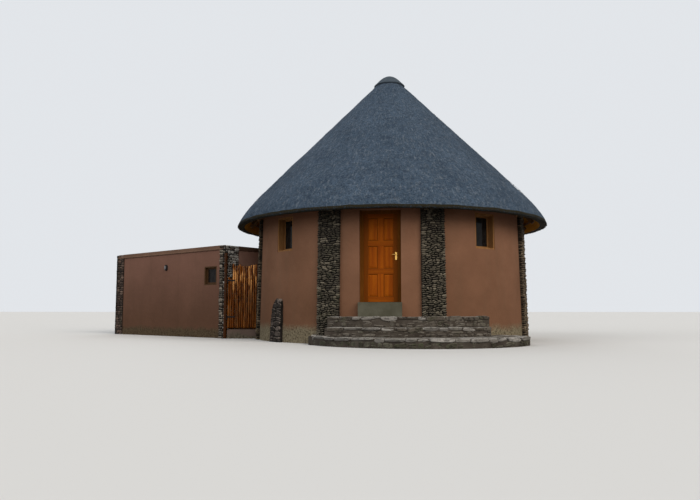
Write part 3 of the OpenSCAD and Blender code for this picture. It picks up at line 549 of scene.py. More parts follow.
def stone(build, rng, at, size, depth, out, slim, tilt, material=0, joint=JOINT):
    """One split stone in a local frame, lens-shaped and a little tilted.

    at(s, z, o) turns a place along the face, a height and a depth into a point. size is the
    stone's lower and upper mark along the face and in height. Its back lies at depth, its face
    about at out."""
    (s0, s1), (z0, z1) = size
    middle_s, middle_z = (s0 + s1) / 2, (z0 + z1) / 2
    half_s, half_z = (s1 - s0) / 2 - joint, (z1 - z0) / 2 - joint * 0.5
    lean = rng.gauss(0.02, tilt)
    face = out + rng.uniform(-0.020, 0.006)
    edge = min(STONE_ROUND, half_z * 0.55)
    blunt = rng.uniform(0.45, 0.75)
    rough = [rng.uniform(0.90, 1.06) for _ in range(STONE_SIDES)]
    points = []
    for inset, o in ((0, depth), (0, face - edge), (edge, face - edge * 0.2)):
        for k in range(STONE_SIDES):
            c, v = circle(k + 0.5, STONE_SIDES)
            s = middle_s + math.copysign(abs(c) ** blunt, c) * (half_s - inset) * rough[k]
            z = math.copysign(abs(v) ** blunt, v) * (half_z - inset) * rough[k]
            z *= 1 - slim * abs(c) ** 3 * 0.5
            points.append(at(s, middle_z + z + (s - middle_s) * lean, o))
    crown = len(points)
    points.append(at(middle_s, middle_z + rng.uniform(-0.2, 0.2) * half_z,
                     face + rng.uniform(-0.001, 0.002)))
    *faces, front = tube(STONE_SIDES, 2)
    faces += [(a, b, crown) for a, b in zip(front, front[1:] + front[:1])]
    build.add(points, faces, material, rng.random() ** 1.3)


def course_heights(rng, start, height, rises):
    """The foot and the rise of each course. The last one reaches up to the height."""
    z = start
    while z < height - LAST_COURSE:
        rise = rng.uniform(*rises)
        if height - z - rise < rises[0]:
            rise = height - z
        yield z, rise
        z += rise


def stone_courses(build, rng, at, width, height, depth, out, start=0.0, material=0, *, rises, lengths,
                  slim, tilt):
    """Lays courses of stones over a face."""
    for z, rise in course_heights(rng, start, height, rises):
        marks = split_length(rng, width, *lengths)
        for span in zip(marks, marks[1:]):
            parts = [(z, z + rise)]
            if rise > SPLIT_RISE and rng.random() < 0.35:
                parts = [(z, z + rise * 0.5), (z + rise * 0.5, z + rise)]
            for part in parts:
                stone(build, rng, at, (span, part), depth, out, slim, tilt, material)


def sheet_block(build, at, width, height, low, out, across=8, start=0.0):
    """A slab of mortar between two depths, as the bed behind the stones."""
    points = []
    for s in np.linspace(0, width, across + 1):
        points += [at(s, start, low), at(s, start, out), at(s, height, out), at(s, height, low)]
    build.add(points, tube(4, across), 1)


# Pilasters and stub
BED_SHARE = 0.55        # depth of the bed as a share of the stones' depth
BED_INSET = 0.014
BACK = 0.004            # gap between the wall and the stones' backs


def on_wall(phi_from):
    """The local frame of a face that follows the round wall, from an angle towards +X."""
    def at(s, z, o):
        phi = phi_from + math.degrees(s / WALL_BASE_R)
        p = direction(phi) * (wall_r(z) + o)
        return (p.x, p.y, z)
    return at


def make_pilasters():
    half = math.degrees(math.asin(PILASTER_W / 2 / WALL_BASE_R))
    arc = math.radians(2 * half) * WALL_BASE_R
    sets = {"front": [-FRONT_PHI, FRONT_PHI], "side": [-SIDE_PHI, SIDE_PHI], "rear": [REAR_PHI, 180]}
    for label, angles in sets.items():
        build = Build()
        for phi in angles:
            at = on_wall(phi - half)
            bed = on_wall(phi - half * (1 - 2 * BED_INSET / arc))
            sheet_block(build, bed, arc - 2 * BED_INSET, PILASTER_H - 0.02, 0.0005, PILASTER_OUT * BED_SHARE)

            def wavy(s, z, o, at=at, phi=phi):
                calm = min(1.0, z / 0.12, max(0.0, (PILASTER_H - z) / 0.12))
                swell = noise.noise(Vector((s * 5.5, z * 3.5, phi))) * 0.040 + (s - arc / 2) * 0.05
                inside = min(max(s, 0.004), arc - 0.004)
                return at(inside, z + swell * calm, o)

            stone_courses(build, random.Random(f"pilaster {phi}"), wavy, arc, PILASTER_H, BACK,
                          PILASTER_OUT, **PILASTER_STONES)
        shown = "brown_slate" if label == "side" else "slate"
        build.finish(f"slate_pilasters_{label}", "hut", "slate", [shown, "joint_mortar"],
                     [f"pilasters_{label}"])


STUB_LEFT, STUB_STEP, STUB_RIGHT = -50.6, -46.9, -42.7


def make_stub():
    """A worn stack of stones that narrows from its left and is rounded at its top."""
    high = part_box("stone_stub")[1].z
    reach = radius_at("stone_stub", 0) - WALL_BASE_R
    arc = math.radians(STUB_RIGHT - STUB_LEFT) * WALL_BASE_R
    drawn_in = (STUB_STEP - STUB_LEFT) / (STUB_RIGHT - STUB_LEFT) * arc

    def worn(s, z, o):
        t = min(max(z / high, 0.0), 1.0)
        crown = max(0.0, (t - 0.82) / 0.18) ** 2
        ragged = noise.noise(Vector((z * 9, s > arc / 2, 3))) * 0.030
        left = drawn_in * (0.40 * t + 0.42 * t ** 5) + 0.08 * crown + ragged - 0.040
        right = arc - 0.045 * crown + ragged * 0.6 - 0.004
        phi = STUB_LEFT + math.degrees((left + (right - left) * s / arc) / WALL_BASE_R)
        p = direction(phi) * (wall_r(z) + o * (1 - 0.12 * t - 0.35 * crown))
        return (p.x, p.y, z)

    build = Build()
    levels = np.linspace(0, high - 0.05, 9)
    for low, top in zip(levels, levels[1:]):
        sheet_block(build, worn, arc, top, 0.001, reach * 0.7, 6, low)
    stone_courses(build, random.Random("stub"), worn, arc, high, BACK, reach, **STUB_STONES)
    build.finish("stub_stones", "hut", "slate", ["stub_slate", "joint_mortar"], ["stone_stub"])


# Annex, in its own frame: origin at its right front corner, +X along its front, +Y to its rear
def annex_point(x, y, z):
    turn = math.radians(-ANNEX_TURN)
    px = x - ANNEX_SIDE
    py = y - ANNEX_AHEAD
    return (px * math.cos(turn) - py * math.sin(turn), px * math.sin(turn) + py * math.cos(turn), z)


def annex_box(node):
    """The lowest and the highest corner of a node in the annex's own frame."""
    co = points_of(node)
    turn = math.radians(ANNEX_TURN)
    x = co[:, 0] * math.cos(turn) - co[:, 1] * math.sin(turn) + ANNEX_SIDE
    y = co[:, 0] * math.sin(turn) + co[:, 1] * math.cos(turn) + ANNEX_AHEAD
    turned = np.column_stack((x, y, co[:, 2]))
    return turned.min(axis=0).tolist(), turned.max(axis=0).tolist()


CORNER_OUT = 0.05
# Outer corner, direction of its first and its second leaf, widths of both, finishes of both
ANNEX_CORNERS = [
    # The first corner's second leaf takes finish 2, the paler slate with painted light.
    ((0, 0), (-1, 0), (0, 1), (0.23, 0.55), (0, 2)),
    ((-ANNEX_LEN, 0), (1, 0), (0, 1), (0.40, 0.40), (3, 3)),
    ((-ANNEX_LEN, ANNEX_DEPTH), (1, 0), (0, -1), (0.40, 0.40), (3, 3)),
]


def lay_corner(build, rng, heights, at, width, high, parity, material):
    """Courses whose heights are the same on both leaves, so that the corner stones bond."""
    courses = course_heights(heights, 0.0, high, CORNER_STONES["rises"])
    for course, (z, rise) in enumerate(courses):
        start = CORNER_OUT if course % 2 == parity else 0.0
        marks = split_length(rng, width - start, *CORNER_STONES["lengths"])
        for a, b in zip(marks, marks[1:]):
            stone(build, rng, at, ((start + a, start + b), (z, z + rise)), 0.002, CORNER_OUT,
                  CORNER_STONES["slim"], CORNER_STONES["tilt"], material)


def make_annex_corners():
    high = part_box("annex_corners")[1].z
    build = Build()
    for number, (corner, first, second, widths, materials) in enumerate(ANNEX_CORNERS):
        rng = random.Random(f"corner {number}")
        for parity, (along, inward) in enumerate(((first, second), (second, first))):
            def at(s, z, o, along=along, inward=inward):
                depth = CORNER_OUT - o
                return annex_point(corner[0] + along[0] * s + inward[0] * depth,
                                   corner[1] + along[1] * s + inward[1] * depth, z)

            sheet_block(build, at, widths[parity] - 0.006, high - 0.015, 0.0, CORNER_OUT * 0.4, 1)
            lay_corner(build, rng, random.Random(f"courses {number}"), at, widths[parity], high, parity,
                       materials[parity])
    build.finish("corner_stones", "hut", "slate", ["corner_slate", "joint_mortar", "pale_slate_painted_light", "dim_slate"],
                 ["annex_corners"])


COPING_EDGE = 0.030     # height of the uneven lower edge of the coping
COPING_PITCH = 0.025    # distance between its rings of points
COPING_FROM = 1.2       # where its run on the right side starts, behind the gate


def make_coping_edge():
    """The coping's uneven lower edge of plaster, squeezed out along the front and both sides."""
    (left, front, under), (right, rear, _) = annex_box("annex_coping")
    outline = [(right, COPING_FROM), (right, front), (left, front), (left, rear)]
    build = Build()
    for number, (a, b) in enumerate(zip(outline, outline[1:])):
        a, b = Vector(a), Vector(b)
        along = (b - a).normalized()
        out = Vector((-along.y, along.x))
        count = int((b - a).length / COPING_PITCH)
        points = []
        for k in range(count + 1):
            place = a + (b - a) * k / count
            wave = noise.noise(Vector((k * 0.33, number * 9, 0)))
            fine = noise.noise(Vector((k * 0.9, number * 9, 5)))
            proud = 0.005 + 0.004 * fine
            drop = COPING_EDGE * (0.45 + 0.55 * wave + 0.25 * fine)
            for o, z in ((-0.022, under + 0.01), (proud, under + COPING_EDGE), (proud, under - drop * 0.5),
                         (proud * 0.3 - 0.004, under - drop), (-0.024, under - drop * 0.8)):
                spot = place + out * o
                points.append(annex_point(spot.x, spot.y, z))
        build.add(points, tube(5, count))
    build.finish("coping_edge", "hut", "plaster", ["coping_plaster"], smooth=True)


LAMP_ROUND = 2.4        # how full the lamp's rounded outline is
LAMP_FRONT = 0.86       # the share of its depth beyond which it is frosted
LAMP_ACROSS, LAMP_TALL = 16, 20


def make_lamp():
    """A rounded bulkhead lamp: a black body against the wall and a frosted front."""
    (left, front, low), (right, wall, high) = annex_box("annex_lamp")
    depth = wall - front
    points = []
    depths = []
    for row in range(LAMP_TALL + 1):
        level = math.sin(math.radians(180 * row / LAMP_TALL - 90)) * 0.998
        full = (1 - abs(level) ** LAMP_ROUND) ** (1 / LAMP_ROUND)
        for k in range(LAMP_ACROSS + 1):
            angle = math.pi * k / LAMP_ACROSS
            d = math.sin(angle) * depth * full
            points.append(annex_point((left + right) / 2 + math.cos(angle) * (right - left) / 2 * full,
                                      wall - d, (low + high) / 2 + level * (high - low) / 2))
            depths.append(d)
    faces = tube(LAMP_ACROSS + 1, LAMP_TALL)
    frosted = [int(sum(depths[p] for p in face) / len(face) > LAMP_FRONT * depth) for face in faces]
    build = Build()
    build.add(points, faces, frosted)
    build.finish("bulkhead_lamp", "hut", "black_metal", ["black_metal", "frosted_glass"], ["annex_lamp"],
                 smooth=True)


# Steps, in metres and degrees
STEP_MIDDLE_PHI = (-16.2, 35.3)
STEP_TOP_PHI = (-17.5, 38.8)
LOWEST_CENTRE = Vector((0.78, -2.36))
LOWEST_RADIUS = 2.68
LOWEST_PHI = (-20.5, 42.5)
LOWEST_ROUND = 6
WALL_THICKNESS = 0.322
RISER_BACK = -0.02
RISER_OUT = 0.014
RIM_THICK = 0.078
RIM_PROUD = 0.022
TREAD_FROM = -0.26      # where the tread's stones start, behind the rim's
TREAD_PROUD = 0.010
FLAG_GAP = 0.008


def flat(phi, radius):
    return direction(phi).to_2d() * radius


def lowest_front(phi):
    """Distance from the hut's axis to the lowest step's rounded front."""
    reach = flat(phi, 1).dot(LOWEST_CENTRE)
    return reach + math.sqrt(reach * reach - LOWEST_CENTRE.length_squared + LOWEST_RADIUS ** 2)


def lowest_outline():
    """The lowest step's outline from its left end to its right end."""
    inner = WALL_BASE_R - WALL_THICKNESS

    def end(phi, turn, share):
        phi_at = phi + turn * math.sin(math.radians(90 * share))
        return flat(phi_at, inner + (lowest_front(phi_at) - inner) * math.cos(math.radians(90 * share)))

    left, right = LOWEST_PHI
    line = [end(left, -LOWEST_ROUND, share) for share in np.linspace(0.92, 0, 14)]
    line += [flat(phi, lowest_front(phi)) for phi in np.linspace(left, right, 90)[1:]]
    line += [end(right, LOWEST_ROUND, share) for share in np.linspace(0, 0.92, 14)[1:]]
    return [p for p in line if p.length > WALL_BASE_R + 0.02]


class Course:
    """A line on the ground with places along it: s along the line, o outwards from it."""

    def __init__(self, line):
        self.line = line
        self.marks = [0.0]
        for a, b in zip(line, line[1:]):
            self.marks.append(self.marks[-1] + (b - a).length)
        self.length = self.marks[-1]

    def at(self, s, z, o):
        s = min(max(s, 0.0), self.length)
        index = min(max(int(np.searchsorted(self.marks, s)), 1), len(self.line) - 1)
        a, b = self.line[index - 1], self.line[index]
        share = (s - self.marks[index - 1]) / (b - a).length
        before = self.line[max(index - 2, 0)]
        after = self.line[min(index + 1, len(self.line) - 1)]
        along = ((b - before).normalized() * (1 - share) + (after - a).normalized() * share).normalized()
        place = a + (b - a) * share + Vector((along.y, -along.x)) * o
        return (place.x, place.y, z)

    def rough(self, number):
        """The same places, pushed up, down, in and out by slow waves that each step has for itself."""
        def at(s, z, o):
            lift = noise.noise(Vector((s * 3.1, z * 5, number))) * 0.026
            push = noise.noise(Vector((s * 4.3, z * 9, number + 7))) * 0.016
            return self.at(s, z + lift, o + push)
        return at


def flag(build, rng, at, s_span, o_span, top, material):
    """A flat stone bedded in a tread, with an uneven outline and worn edges."""
    (s0, s1), (o0, o1) = s_span, o_span
    corners = []
    for o, shares in ((o1, (0.0, 0.33, 0.66, 1.0)), (o0 + FLAG_GAP, (1.0, 0.5, 0.0))):
        corners += [(s0 + FLAG_GAP + (s1 - s0 - 2 * FLAG_GAP) * t, o) for t in shares]
    middle_s, middle_o = (s0 + s1) / 2, (o0 + o1) / 2
    shaken = [(s + rng.uniform(-0.018, 0.018), o + rng.uniform(-0.022, 0.008)) for s, o in corners]
    rise = rng.uniform(0.55, 1.0) * TREAD_PROUD
    slope = rng.uniform(-0.004, 0.004)
    points = []
    for share, height in ((1.0, -0.03), (1.0, rise - 0.009), (0.97, rise - 0.002), (0.90, rise)):
        for s, o in shaken:
            points.append(at(middle_s + (s - middle_s) * share, top + height + slope * (s > middle_s),
                             middle_o + (o - middle_o) * share))
    build.add(points, tube(len(shaken), 3), material, rng.random())


def lay_rim(build, rng, course, number, top):
    """The step's rim: thick, proud stones at the front, each with a flat one behind it."""
    lowest = number == 0
    marks = split_length(rng, course.length, 0.16, 0.62 if lowest else 0.46)
    for span in zip(marks, marks[1:]):
        rim = rng.uniform(0.15, 0.24)
        under = top - RIM_THICK * rng.uniform(0.55, 1.15)
        pale = int(lowest or rng.random() < 0.45)
        upper = top + rng.uniform(-0.004, 0.026)
        stone(build, rng, course.rough(number), (span, (under, upper)), -rim * 0.6,
              RISER_OUT + RIM_PROUD * rng.uniform(0.5, 1.4), 0.25, 0.045, pale, 0.002)
        flag(build, rng, course.at, span, (-rim, RISER_OUT - 0.012), top - 0.002, 1)


def lay_tread(build, rng, course, rows, depth, top):
    """Flat stones from the rim to the next step or the wall."""
    marks_o = np.linspace(TREAD_FROM, -depth, rows + 1)
    for far, near in zip(marks_o[1:], marks_o[:-1]):
        marks = split_length(rng, course.length, 0.25, 0.55)
        for a, b in zip(marks, marks[1:]):
            middle = Vector(course.at((a + b) / 2, 0, (far + near) / 2)).to_2d()
            if middle.length > WALL_BASE_R + 0.16 and near - far > 0.03:
                flag(build, rng, course.at, (a, b), (far, near), top - 0.003, int(rng.random() < 0.4))


def make_steps():
    tops = [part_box(name)[1].z for name in ("step_lowest", "step_middle", "step_top")]
    radii = [radius_at(name, top) for name, top in zip(("step_middle", "step_top"), tops[1:])]
    arcs = list(zip(radii, (STEP_MIDDLE_PHI, STEP_TOP_PHI)))
    lines = [lowest_outline()] + [[flat(phi, r) for phi in np.linspace(*span, 90)] for r, span in arcs]
    depths = (0.80, radii[0] - radii[1] - 0.01, radii[1] - WALL_BASE_R - 0.01)
    feet = [0.0] + tops[:-1]
    build = Build()
    for number, (line, foot, top, depth) in enumerate(zip(lines, feet, tops, depths)):
        rng = random.Random(f"step {number}")
        course = Course(line)
        stone_courses(build, rng, course.rough(number), course.length, top - RIM_THICK + 0.01, RISER_BACK,
                      RISER_OUT, foot + 0.010, 0 if number else 2, **RISER_STONES)
        lay_rim(build, rng, course, number, top)
        lay_tread(build, rng, course, 1 if number else 3, depth, top)
    for (radius, angles), low, high in zip(arcs, tops, tops[1:]):
        for phi, inward in zip(angles, (False, True)):
            ends = [flat(phi, radius), flat(phi, WALL_BASE_R + 0.01)]
            side = Course(ends if inward else ends[::-1])
            stone_courses(build, random.Random(f"end {phi}"), side.at, side.length, high - 0.006,
                          RISER_BACK, RISER_OUT * 0.7, low + 0.014, **END_STONES)
    build.finish("step_stones", "hut", "step_stone", ["step_stone", "rim_stone", "low_stone"])


# Roof, in metres and degrees
ROOF_PITCH = 45.5
EAVE_CUT = 0.18
EAVE_BEVEL = 0.015
SHOULDER = 0.69
BEND_IN = 0.14
THATCH_TOP_R = 0.13
ROOF_SEGMENTS = 600
ZONES = {"outside": 0, "cut": 1, "under": 2}
SLOPE_STALKS = 14000
EAVE_STALKS = 9000


def roof_profile():
    """The thatch's outline as rows of (radius, height, zone): outside, cut face and underside."""
    low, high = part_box("thatch")
    slope = math.tan(math.radians(ROOF_PITCH))
    eave_r = high.x
    eave_z = low.z

    def over(r):
        return high.z - (r - THATCH_TOP_R) * slope

    ends = ((eave_r - SHOULDER, over(eave_r - SHOULDER)), (eave_r - BEND_IN, over(eave_r - BEND_IN)),
            (eave_r, eave_z + EAVE_BEVEL))
    rows = [(r, over(r), "outside") for r in np.linspace(THATCH_TOP_R, eave_r - SHOULDER, 78)[:-1]]
    for t in np.linspace(0, 1, 26):
        shares = ((1 - t) ** 2, 2 * t * (1 - t), t * t)
        rows.append((sum(w * e[0] for w, e in zip(shares, ends)),
                     sum(w * e[1] for w, e in zip(shares, ends)), "cut" if t > 0.94 else "outside"))
    inner = eave_r - EAVE_CUT
    rows += [(r, eave_z, "cut") for r in np.linspace(eave_r - EAVE_BEVEL, inner, 7)]
    rows += [(r, eave_z + (inner - r) * slope, "under") for r in np.linspace(inner, 0.02, 30)[1:]]
    return rows


def thatch_swell(place):
    """The slow unevenness of the thatch's outside."""
    return noise.noise(place * 0.9) * 0.016 + noise.noise(place * 2.7) * 0.008


def eave_wave(c, s):
    return noise.noise(Vector((c, s, 0)) * 9) * 0.014


def make_thatch(rows):
    eave_r = max(r for r, _, _ in rows)
    eave_z = min(z for _, z, _ in rows)
    points = []
    for index, (r, z, zone) in enumerate(rows):
        before = rows[max(index - 1, 0)]
        after = rows[min(index + 1, len(rows) - 1)]
        along = Vector((after[0] - before[0], after[1] - before[1])).normalized()
        near_eave = max(0.0, 1 - math.hypot(r - eave_r, z - eave_z) / 0.30)
        for k in range(ROOF_SEGMENTS):
            c, s = circle(k, ROOF_SEGMENTS)
            place = Vector((r * c, r * s, z))
            fine = noise.noise(place * 9) * 0.005
            lift = {"outside": thatch_swell(place) + fine, "cut": -fine * 1.4, "under": -fine}[zone]
            if r < THATCH_TOP_R + 0.01:
                lift = 0.0
            wave = eave_wave(c, s) + noise.noise(Vector((c, s, 2)) * 45) * 0.007
            rr = r - along.y * lift
            points.append((rr * c, rr * s, z + along.x * lift + wave * near_eave))
    materials = [ZONES[zone] for _, _, zone in rows[1:] for _ in range(ROOF_SEGMENTS)]
    build = Build()
    build.add(points, tube(ROOF_SEGMENTS, len(rows) - 1), materials + [ZONES["outside"], ZONES["under"]])
    build.finish("thatch_cone", "hut", "thatch", ["thatch_outside", "thatch_cut_painted_shade", "thatch_underside_painted_light"],
                 ["thatch"], smooth=True)


def make_straw(rows):
    """Loose stalks that lie on the slope and hang at the clipped eave."""
    rng = random.Random("straw")
    outside = [(r, z) for r, z, zone in rows if zone == "outside"]
    weights = np.cumsum([r for r, _ in outside])
    build = Build()

    def stalk(base, along, side, length, width, lift, tint):
        up = side.cross(along).normalized()
        tip = base + along * length + up * lift
        half = side * width / 2
        build.add([base - half, base + half, base + up * width * 0.6, tip],
                  [(0, 1, 3), (1, 2, 3), (2, 0, 3), (0, 2, 1)], 0, tint)

    for _ in range(SLOPE_STALKS):
        index = int(np.searchsorted(weights, rng.random() * weights[-1]))
        index = min(max(index, 1), len(outside) - 2)
        r, z = outside[index]
        after = outside[index + 1]
        share = rng.random()
        r, z = r + (after[0] - r) * share, z + (after[1] - z) * share
        turn = rng.uniform(0, 2 * math.pi)
        c, s = math.cos(turn), math.sin(turn)
        down = Vector(((after[0] - r) * c, (after[0] - r) * s, after[1] - z))
        if down.length < 1e-4:
            continue
        down.normalize()
        side = Vector((-s, c, 0))
        lean = rng.gauss(0, 0.3)
        along = (down + side * lean).normalized()
        side = (side - down * lean).normalized()
        place = Vector((r * c, r * s, z))
        base = place + side.cross(along) * (thatch_swell(place) + 0.004)
        stalk(base, along, side, rng.uniform(0.03, 0.085), rng.uniform(0.004, 0.009),
              rng.uniform(0.0, 0.012), min(1.0, rng.random() ** 1.4))
    eave_r = max(r for r, _, _ in rows)
    eave_z = min(z for _, z, _ in rows) + EAVE_BEVEL
    for _ in range(EAVE_STALKS):
        turn = rng.uniform(0, 2 * math.pi)
        c, s = math.cos(turn), math.sin(turn)
        r = eave_r - (rng.uniform(0, 0.17) if rng.random() < 0.4 else rng.uniform(0, 0.02))
        base = Vector((r * c, r * s, eave_z + eave_wave(c, s) + rng.uniform(-0.005, 0.02)))
        down = Vector((c * rng.uniform(-0.1, 0.4), s * rng.uniform(-0.1, 0.4), -1)).normalized()
        side = Vector((-s, c, 0))
        stalk(base, (down + side * rng.gauss(0, 0.15)).normalized(), side, rng.uniform(0.012, 0.035),
              rng.uniform(0.004, 0.009), 0.0, rng.random() * 0.6)
    build.finish("thatch_stalks", "hut", "thatch", ["loose_straw"])


# Door, in metres
STILE = 0.114
MID_STILE = 0.130
TOP_RAIL = 0.112
MID_RAIL = 0.122
BOTTOM_RAIL = 0.120
BOARD_EDGE = 0.0025
SEAM = 0.0004
MOULDING_W = 0.016
MOULDING_SET = 0.002
MOULDING_STEPS = 5
# A raised panel from its rim inwards: distances from the rim and from the panel's middle plane
PANEL_PROFILE = [(0.0005, 0.007), (0.017, 0.007), (0.020, 0.0065), (0.040, 0.0125), (0.042, 0.0155),
                 (0.046, 0.016)]
# Shades of the boards: 0 is the darkest brown, 0.4 and over is the full orange. The beads' low shades are
# painted shade.
OUTER_STILE_WOOD = 0.07
RAIL_WOOD = 0.26
FRESH_WOOD = 0.7


def board(build, low, high, level, tint):
    """A board with worn edges: each corner is three points, one on each face that meets there."""
    corners = list(product((0, 1), repeat=3))
    points = []
    for corner in corners:
        tip = Vector([(low, high)[side][axis] for axis, side in enumerate(corner)])
        for face in range(3):
            points.append(tip + Vector([0 if axis == face else BOARD_EDGE * (1 - 2 * side)
                                        for axis, side in enumerate(corner)]))

    def at(marks, face):
        return (marks[0] * 4 + marks[1] * 2 + marks[2]) * 3 + face

    def placed(axis, value, others):
        marks = list(others)
        marks.insert(axis, value)
        return marks

    faces = [[at(corner, face) for face in range(3)] for corner in corners]
    for axis in range(3):
        first, second = [other for other in range(3) if other != axis]
        for side in (0, 1):
            faces.append([at(placed(axis, side, ring), axis) for ring in ((0, 0), (0, 1), (1, 1), (1, 0))])
        for others in product((0, 1), repeat=2):
            near, far = placed(axis, 0, others), placed(axis, 1, others)
            faces.append([at(near, first), at(near, second), at(far, second), at(far, first)])
    build.add(points, faces, 0, tint, level)


def moulding(build, span_x, span_z, face, sign, tint):
    """A quarter-round bead round one panel opening, mitred at its corners."""
    profile = [(0.0, MOULDING_SET)]
    for k in range(MOULDING_STEPS + 1):
        turn = math.radians(90 * k / MOULDING_STEPS)
        profile.append((MOULDING_W * math.sin(turn), MOULDING_SET + MOULDING_W * (1 - math.cos(turn)) * 0.8))
    profile.append((0.0, MOULDING_SET + MOULDING_W * 0.8))
    for corner in range(4):
        points = []
        for k in (corner, (corner + 1) % 4):
            x_side, z_side = int(k in (1, 2)), int(k in (2, 3))
            for inward, depth in profile:
                points.append((inset(span_x, x_side, inward), face + sign * depth,
                               inset(span_z, z_side, inward)))
        # The level beads get a lower shade than the upright ones: painted shade along the panels' top and
        # bottom edges.
        level = corner in (0, 2)
        build.add(points, tube(len(profile), 1), 0, tint * (0.3 if level else 2.0), float(level))


def panel(build, span_x, span_z, middle, tint):
    """A raised panel: thin edge, a step, a long bevel, a small shoulder and the raised field."""
    points = []
    rings = [(inward, -rise) for inward, rise in reversed(PANEL_PROFILE)] + PANEL_PROFILE
    for inward, rise in rings:
        for x_side, z_side in ((0, 0), (1, 0), (1, 1), (0, 1)):
            points.append((inset(span_x, x_side, inward), middle + rise, inset(span_z, z_side, inward)))
    build.add(points, tube(4, len(rings) - 1), 0, tint)


def make_door():
    low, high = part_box("door_leaf")
    rng = random.Random("door")
    build = Build()
    front, back = low.y, high.y
    left, right = low.x, high.x
    mid = (left + right) / 2
    panel_h = (high.z - low.z - TOP_RAIL - BOTTOM_RAIL - 2 * MID_RAIL) / 3
    rails = [(low.z, low.z + BOTTOM_RAIL)]
    openings = []
    for _ in range(3):
        openings.append((rails[-1][1], rails[-1][1] + panel_h))
        rails.append((openings[-1][1], openings[-1][1] + MID_RAIL))
    rails[-1] = (rails[-1][0], high.z)

    def wood(x0, x1, z0, z1, level, tint):
        board(build, (x0, front, z0), (x1, back, z1), level, rng.uniform(0.8, 1.2) * tint)

    wood(left, left + STILE, low.z, high.z, 0.0, OUTER_STILE_WOOD)
    wood(right - STILE, right, low.z, high.z, 0.0, OUTER_STILE_WOOD)
    for z0, z1 in rails:
        wood(left + STILE + SEAM, right - STILE - SEAM, z0, z1, 1.0, RAIL_WOOD)
    half = MID_STILE / 2
    for z0, z1 in openings:
        wood(mid - half, mid + half, z0 + SEAM, z1 - SEAM, 0.0, FRESH_WOOD)
    columns = [(left + STILE, mid - half), (mid + half, right - STILE)]
    for span_x, span_z in product(columns, openings):
        for face, sign in ((front, 1), (back, -1)):
            # The beads get low shades: painted shade round the panels.
            moulding(build, span_x, span_z, face, sign, rng.uniform(0.0, 0.15))
    build.finish("door_boards", "door", "door_timber", ["door_boards"], ["door_leaf"])
    panels = Build()
    for span_x, span_z in product(columns, openings):
        panel(panels, span_x, span_z, (front + back) / 2, rng.uniform(0.3, 1.0))
    panels.finish("door_fields", "door", "door_timber", ["door_boards"], ["door_panels"])


# Gate, in metres
POST_R = 0.05
POST_FLAT = 0.004
POST_FRONT = 0.027
POST_GAP = 0.014
STICK_R = 0.027
STICKS = 13
SHORT_STICKS = 2
SHORT_TOP = 1.68
RAIL_R = 0.026
RAIL_LET_IN = 0.012
RAIL_FROM_BOTTOM = 0.19
RAIL_FROM_TOP = 0.43


def pole(build, rng, line, radius_of, sides, tint, bark):
    """A round pole along a line of points, with uneven bark, cut square at both ends."""
    points = []
    phase = rng.uniform(0, 50)
    for index, place in enumerate(line):
        ahead = (line[min(index + 1, len(line) - 1)] - line[max(index - 1, 0)]).normalized()
        across = ahead.cross(Vector((0.31, 0.52, 0.8) if abs(ahead.z) < 0.9 else (1, 0, 0))).normalized()
        other = ahead.cross(across)
        radius = radius_of(index / (len(line) - 1))
        for k in range(sides):
            c, s = circle(k, sides)
            bump = 1 + bark * noise.noise(Vector((c * 1.7, s * 1.7, place.length * 9 + phase)))
            points.append(place + (across * c + other * s) * radius * bump)
    build.add(points, tube(sides, len(line) - 1), 0, tint)


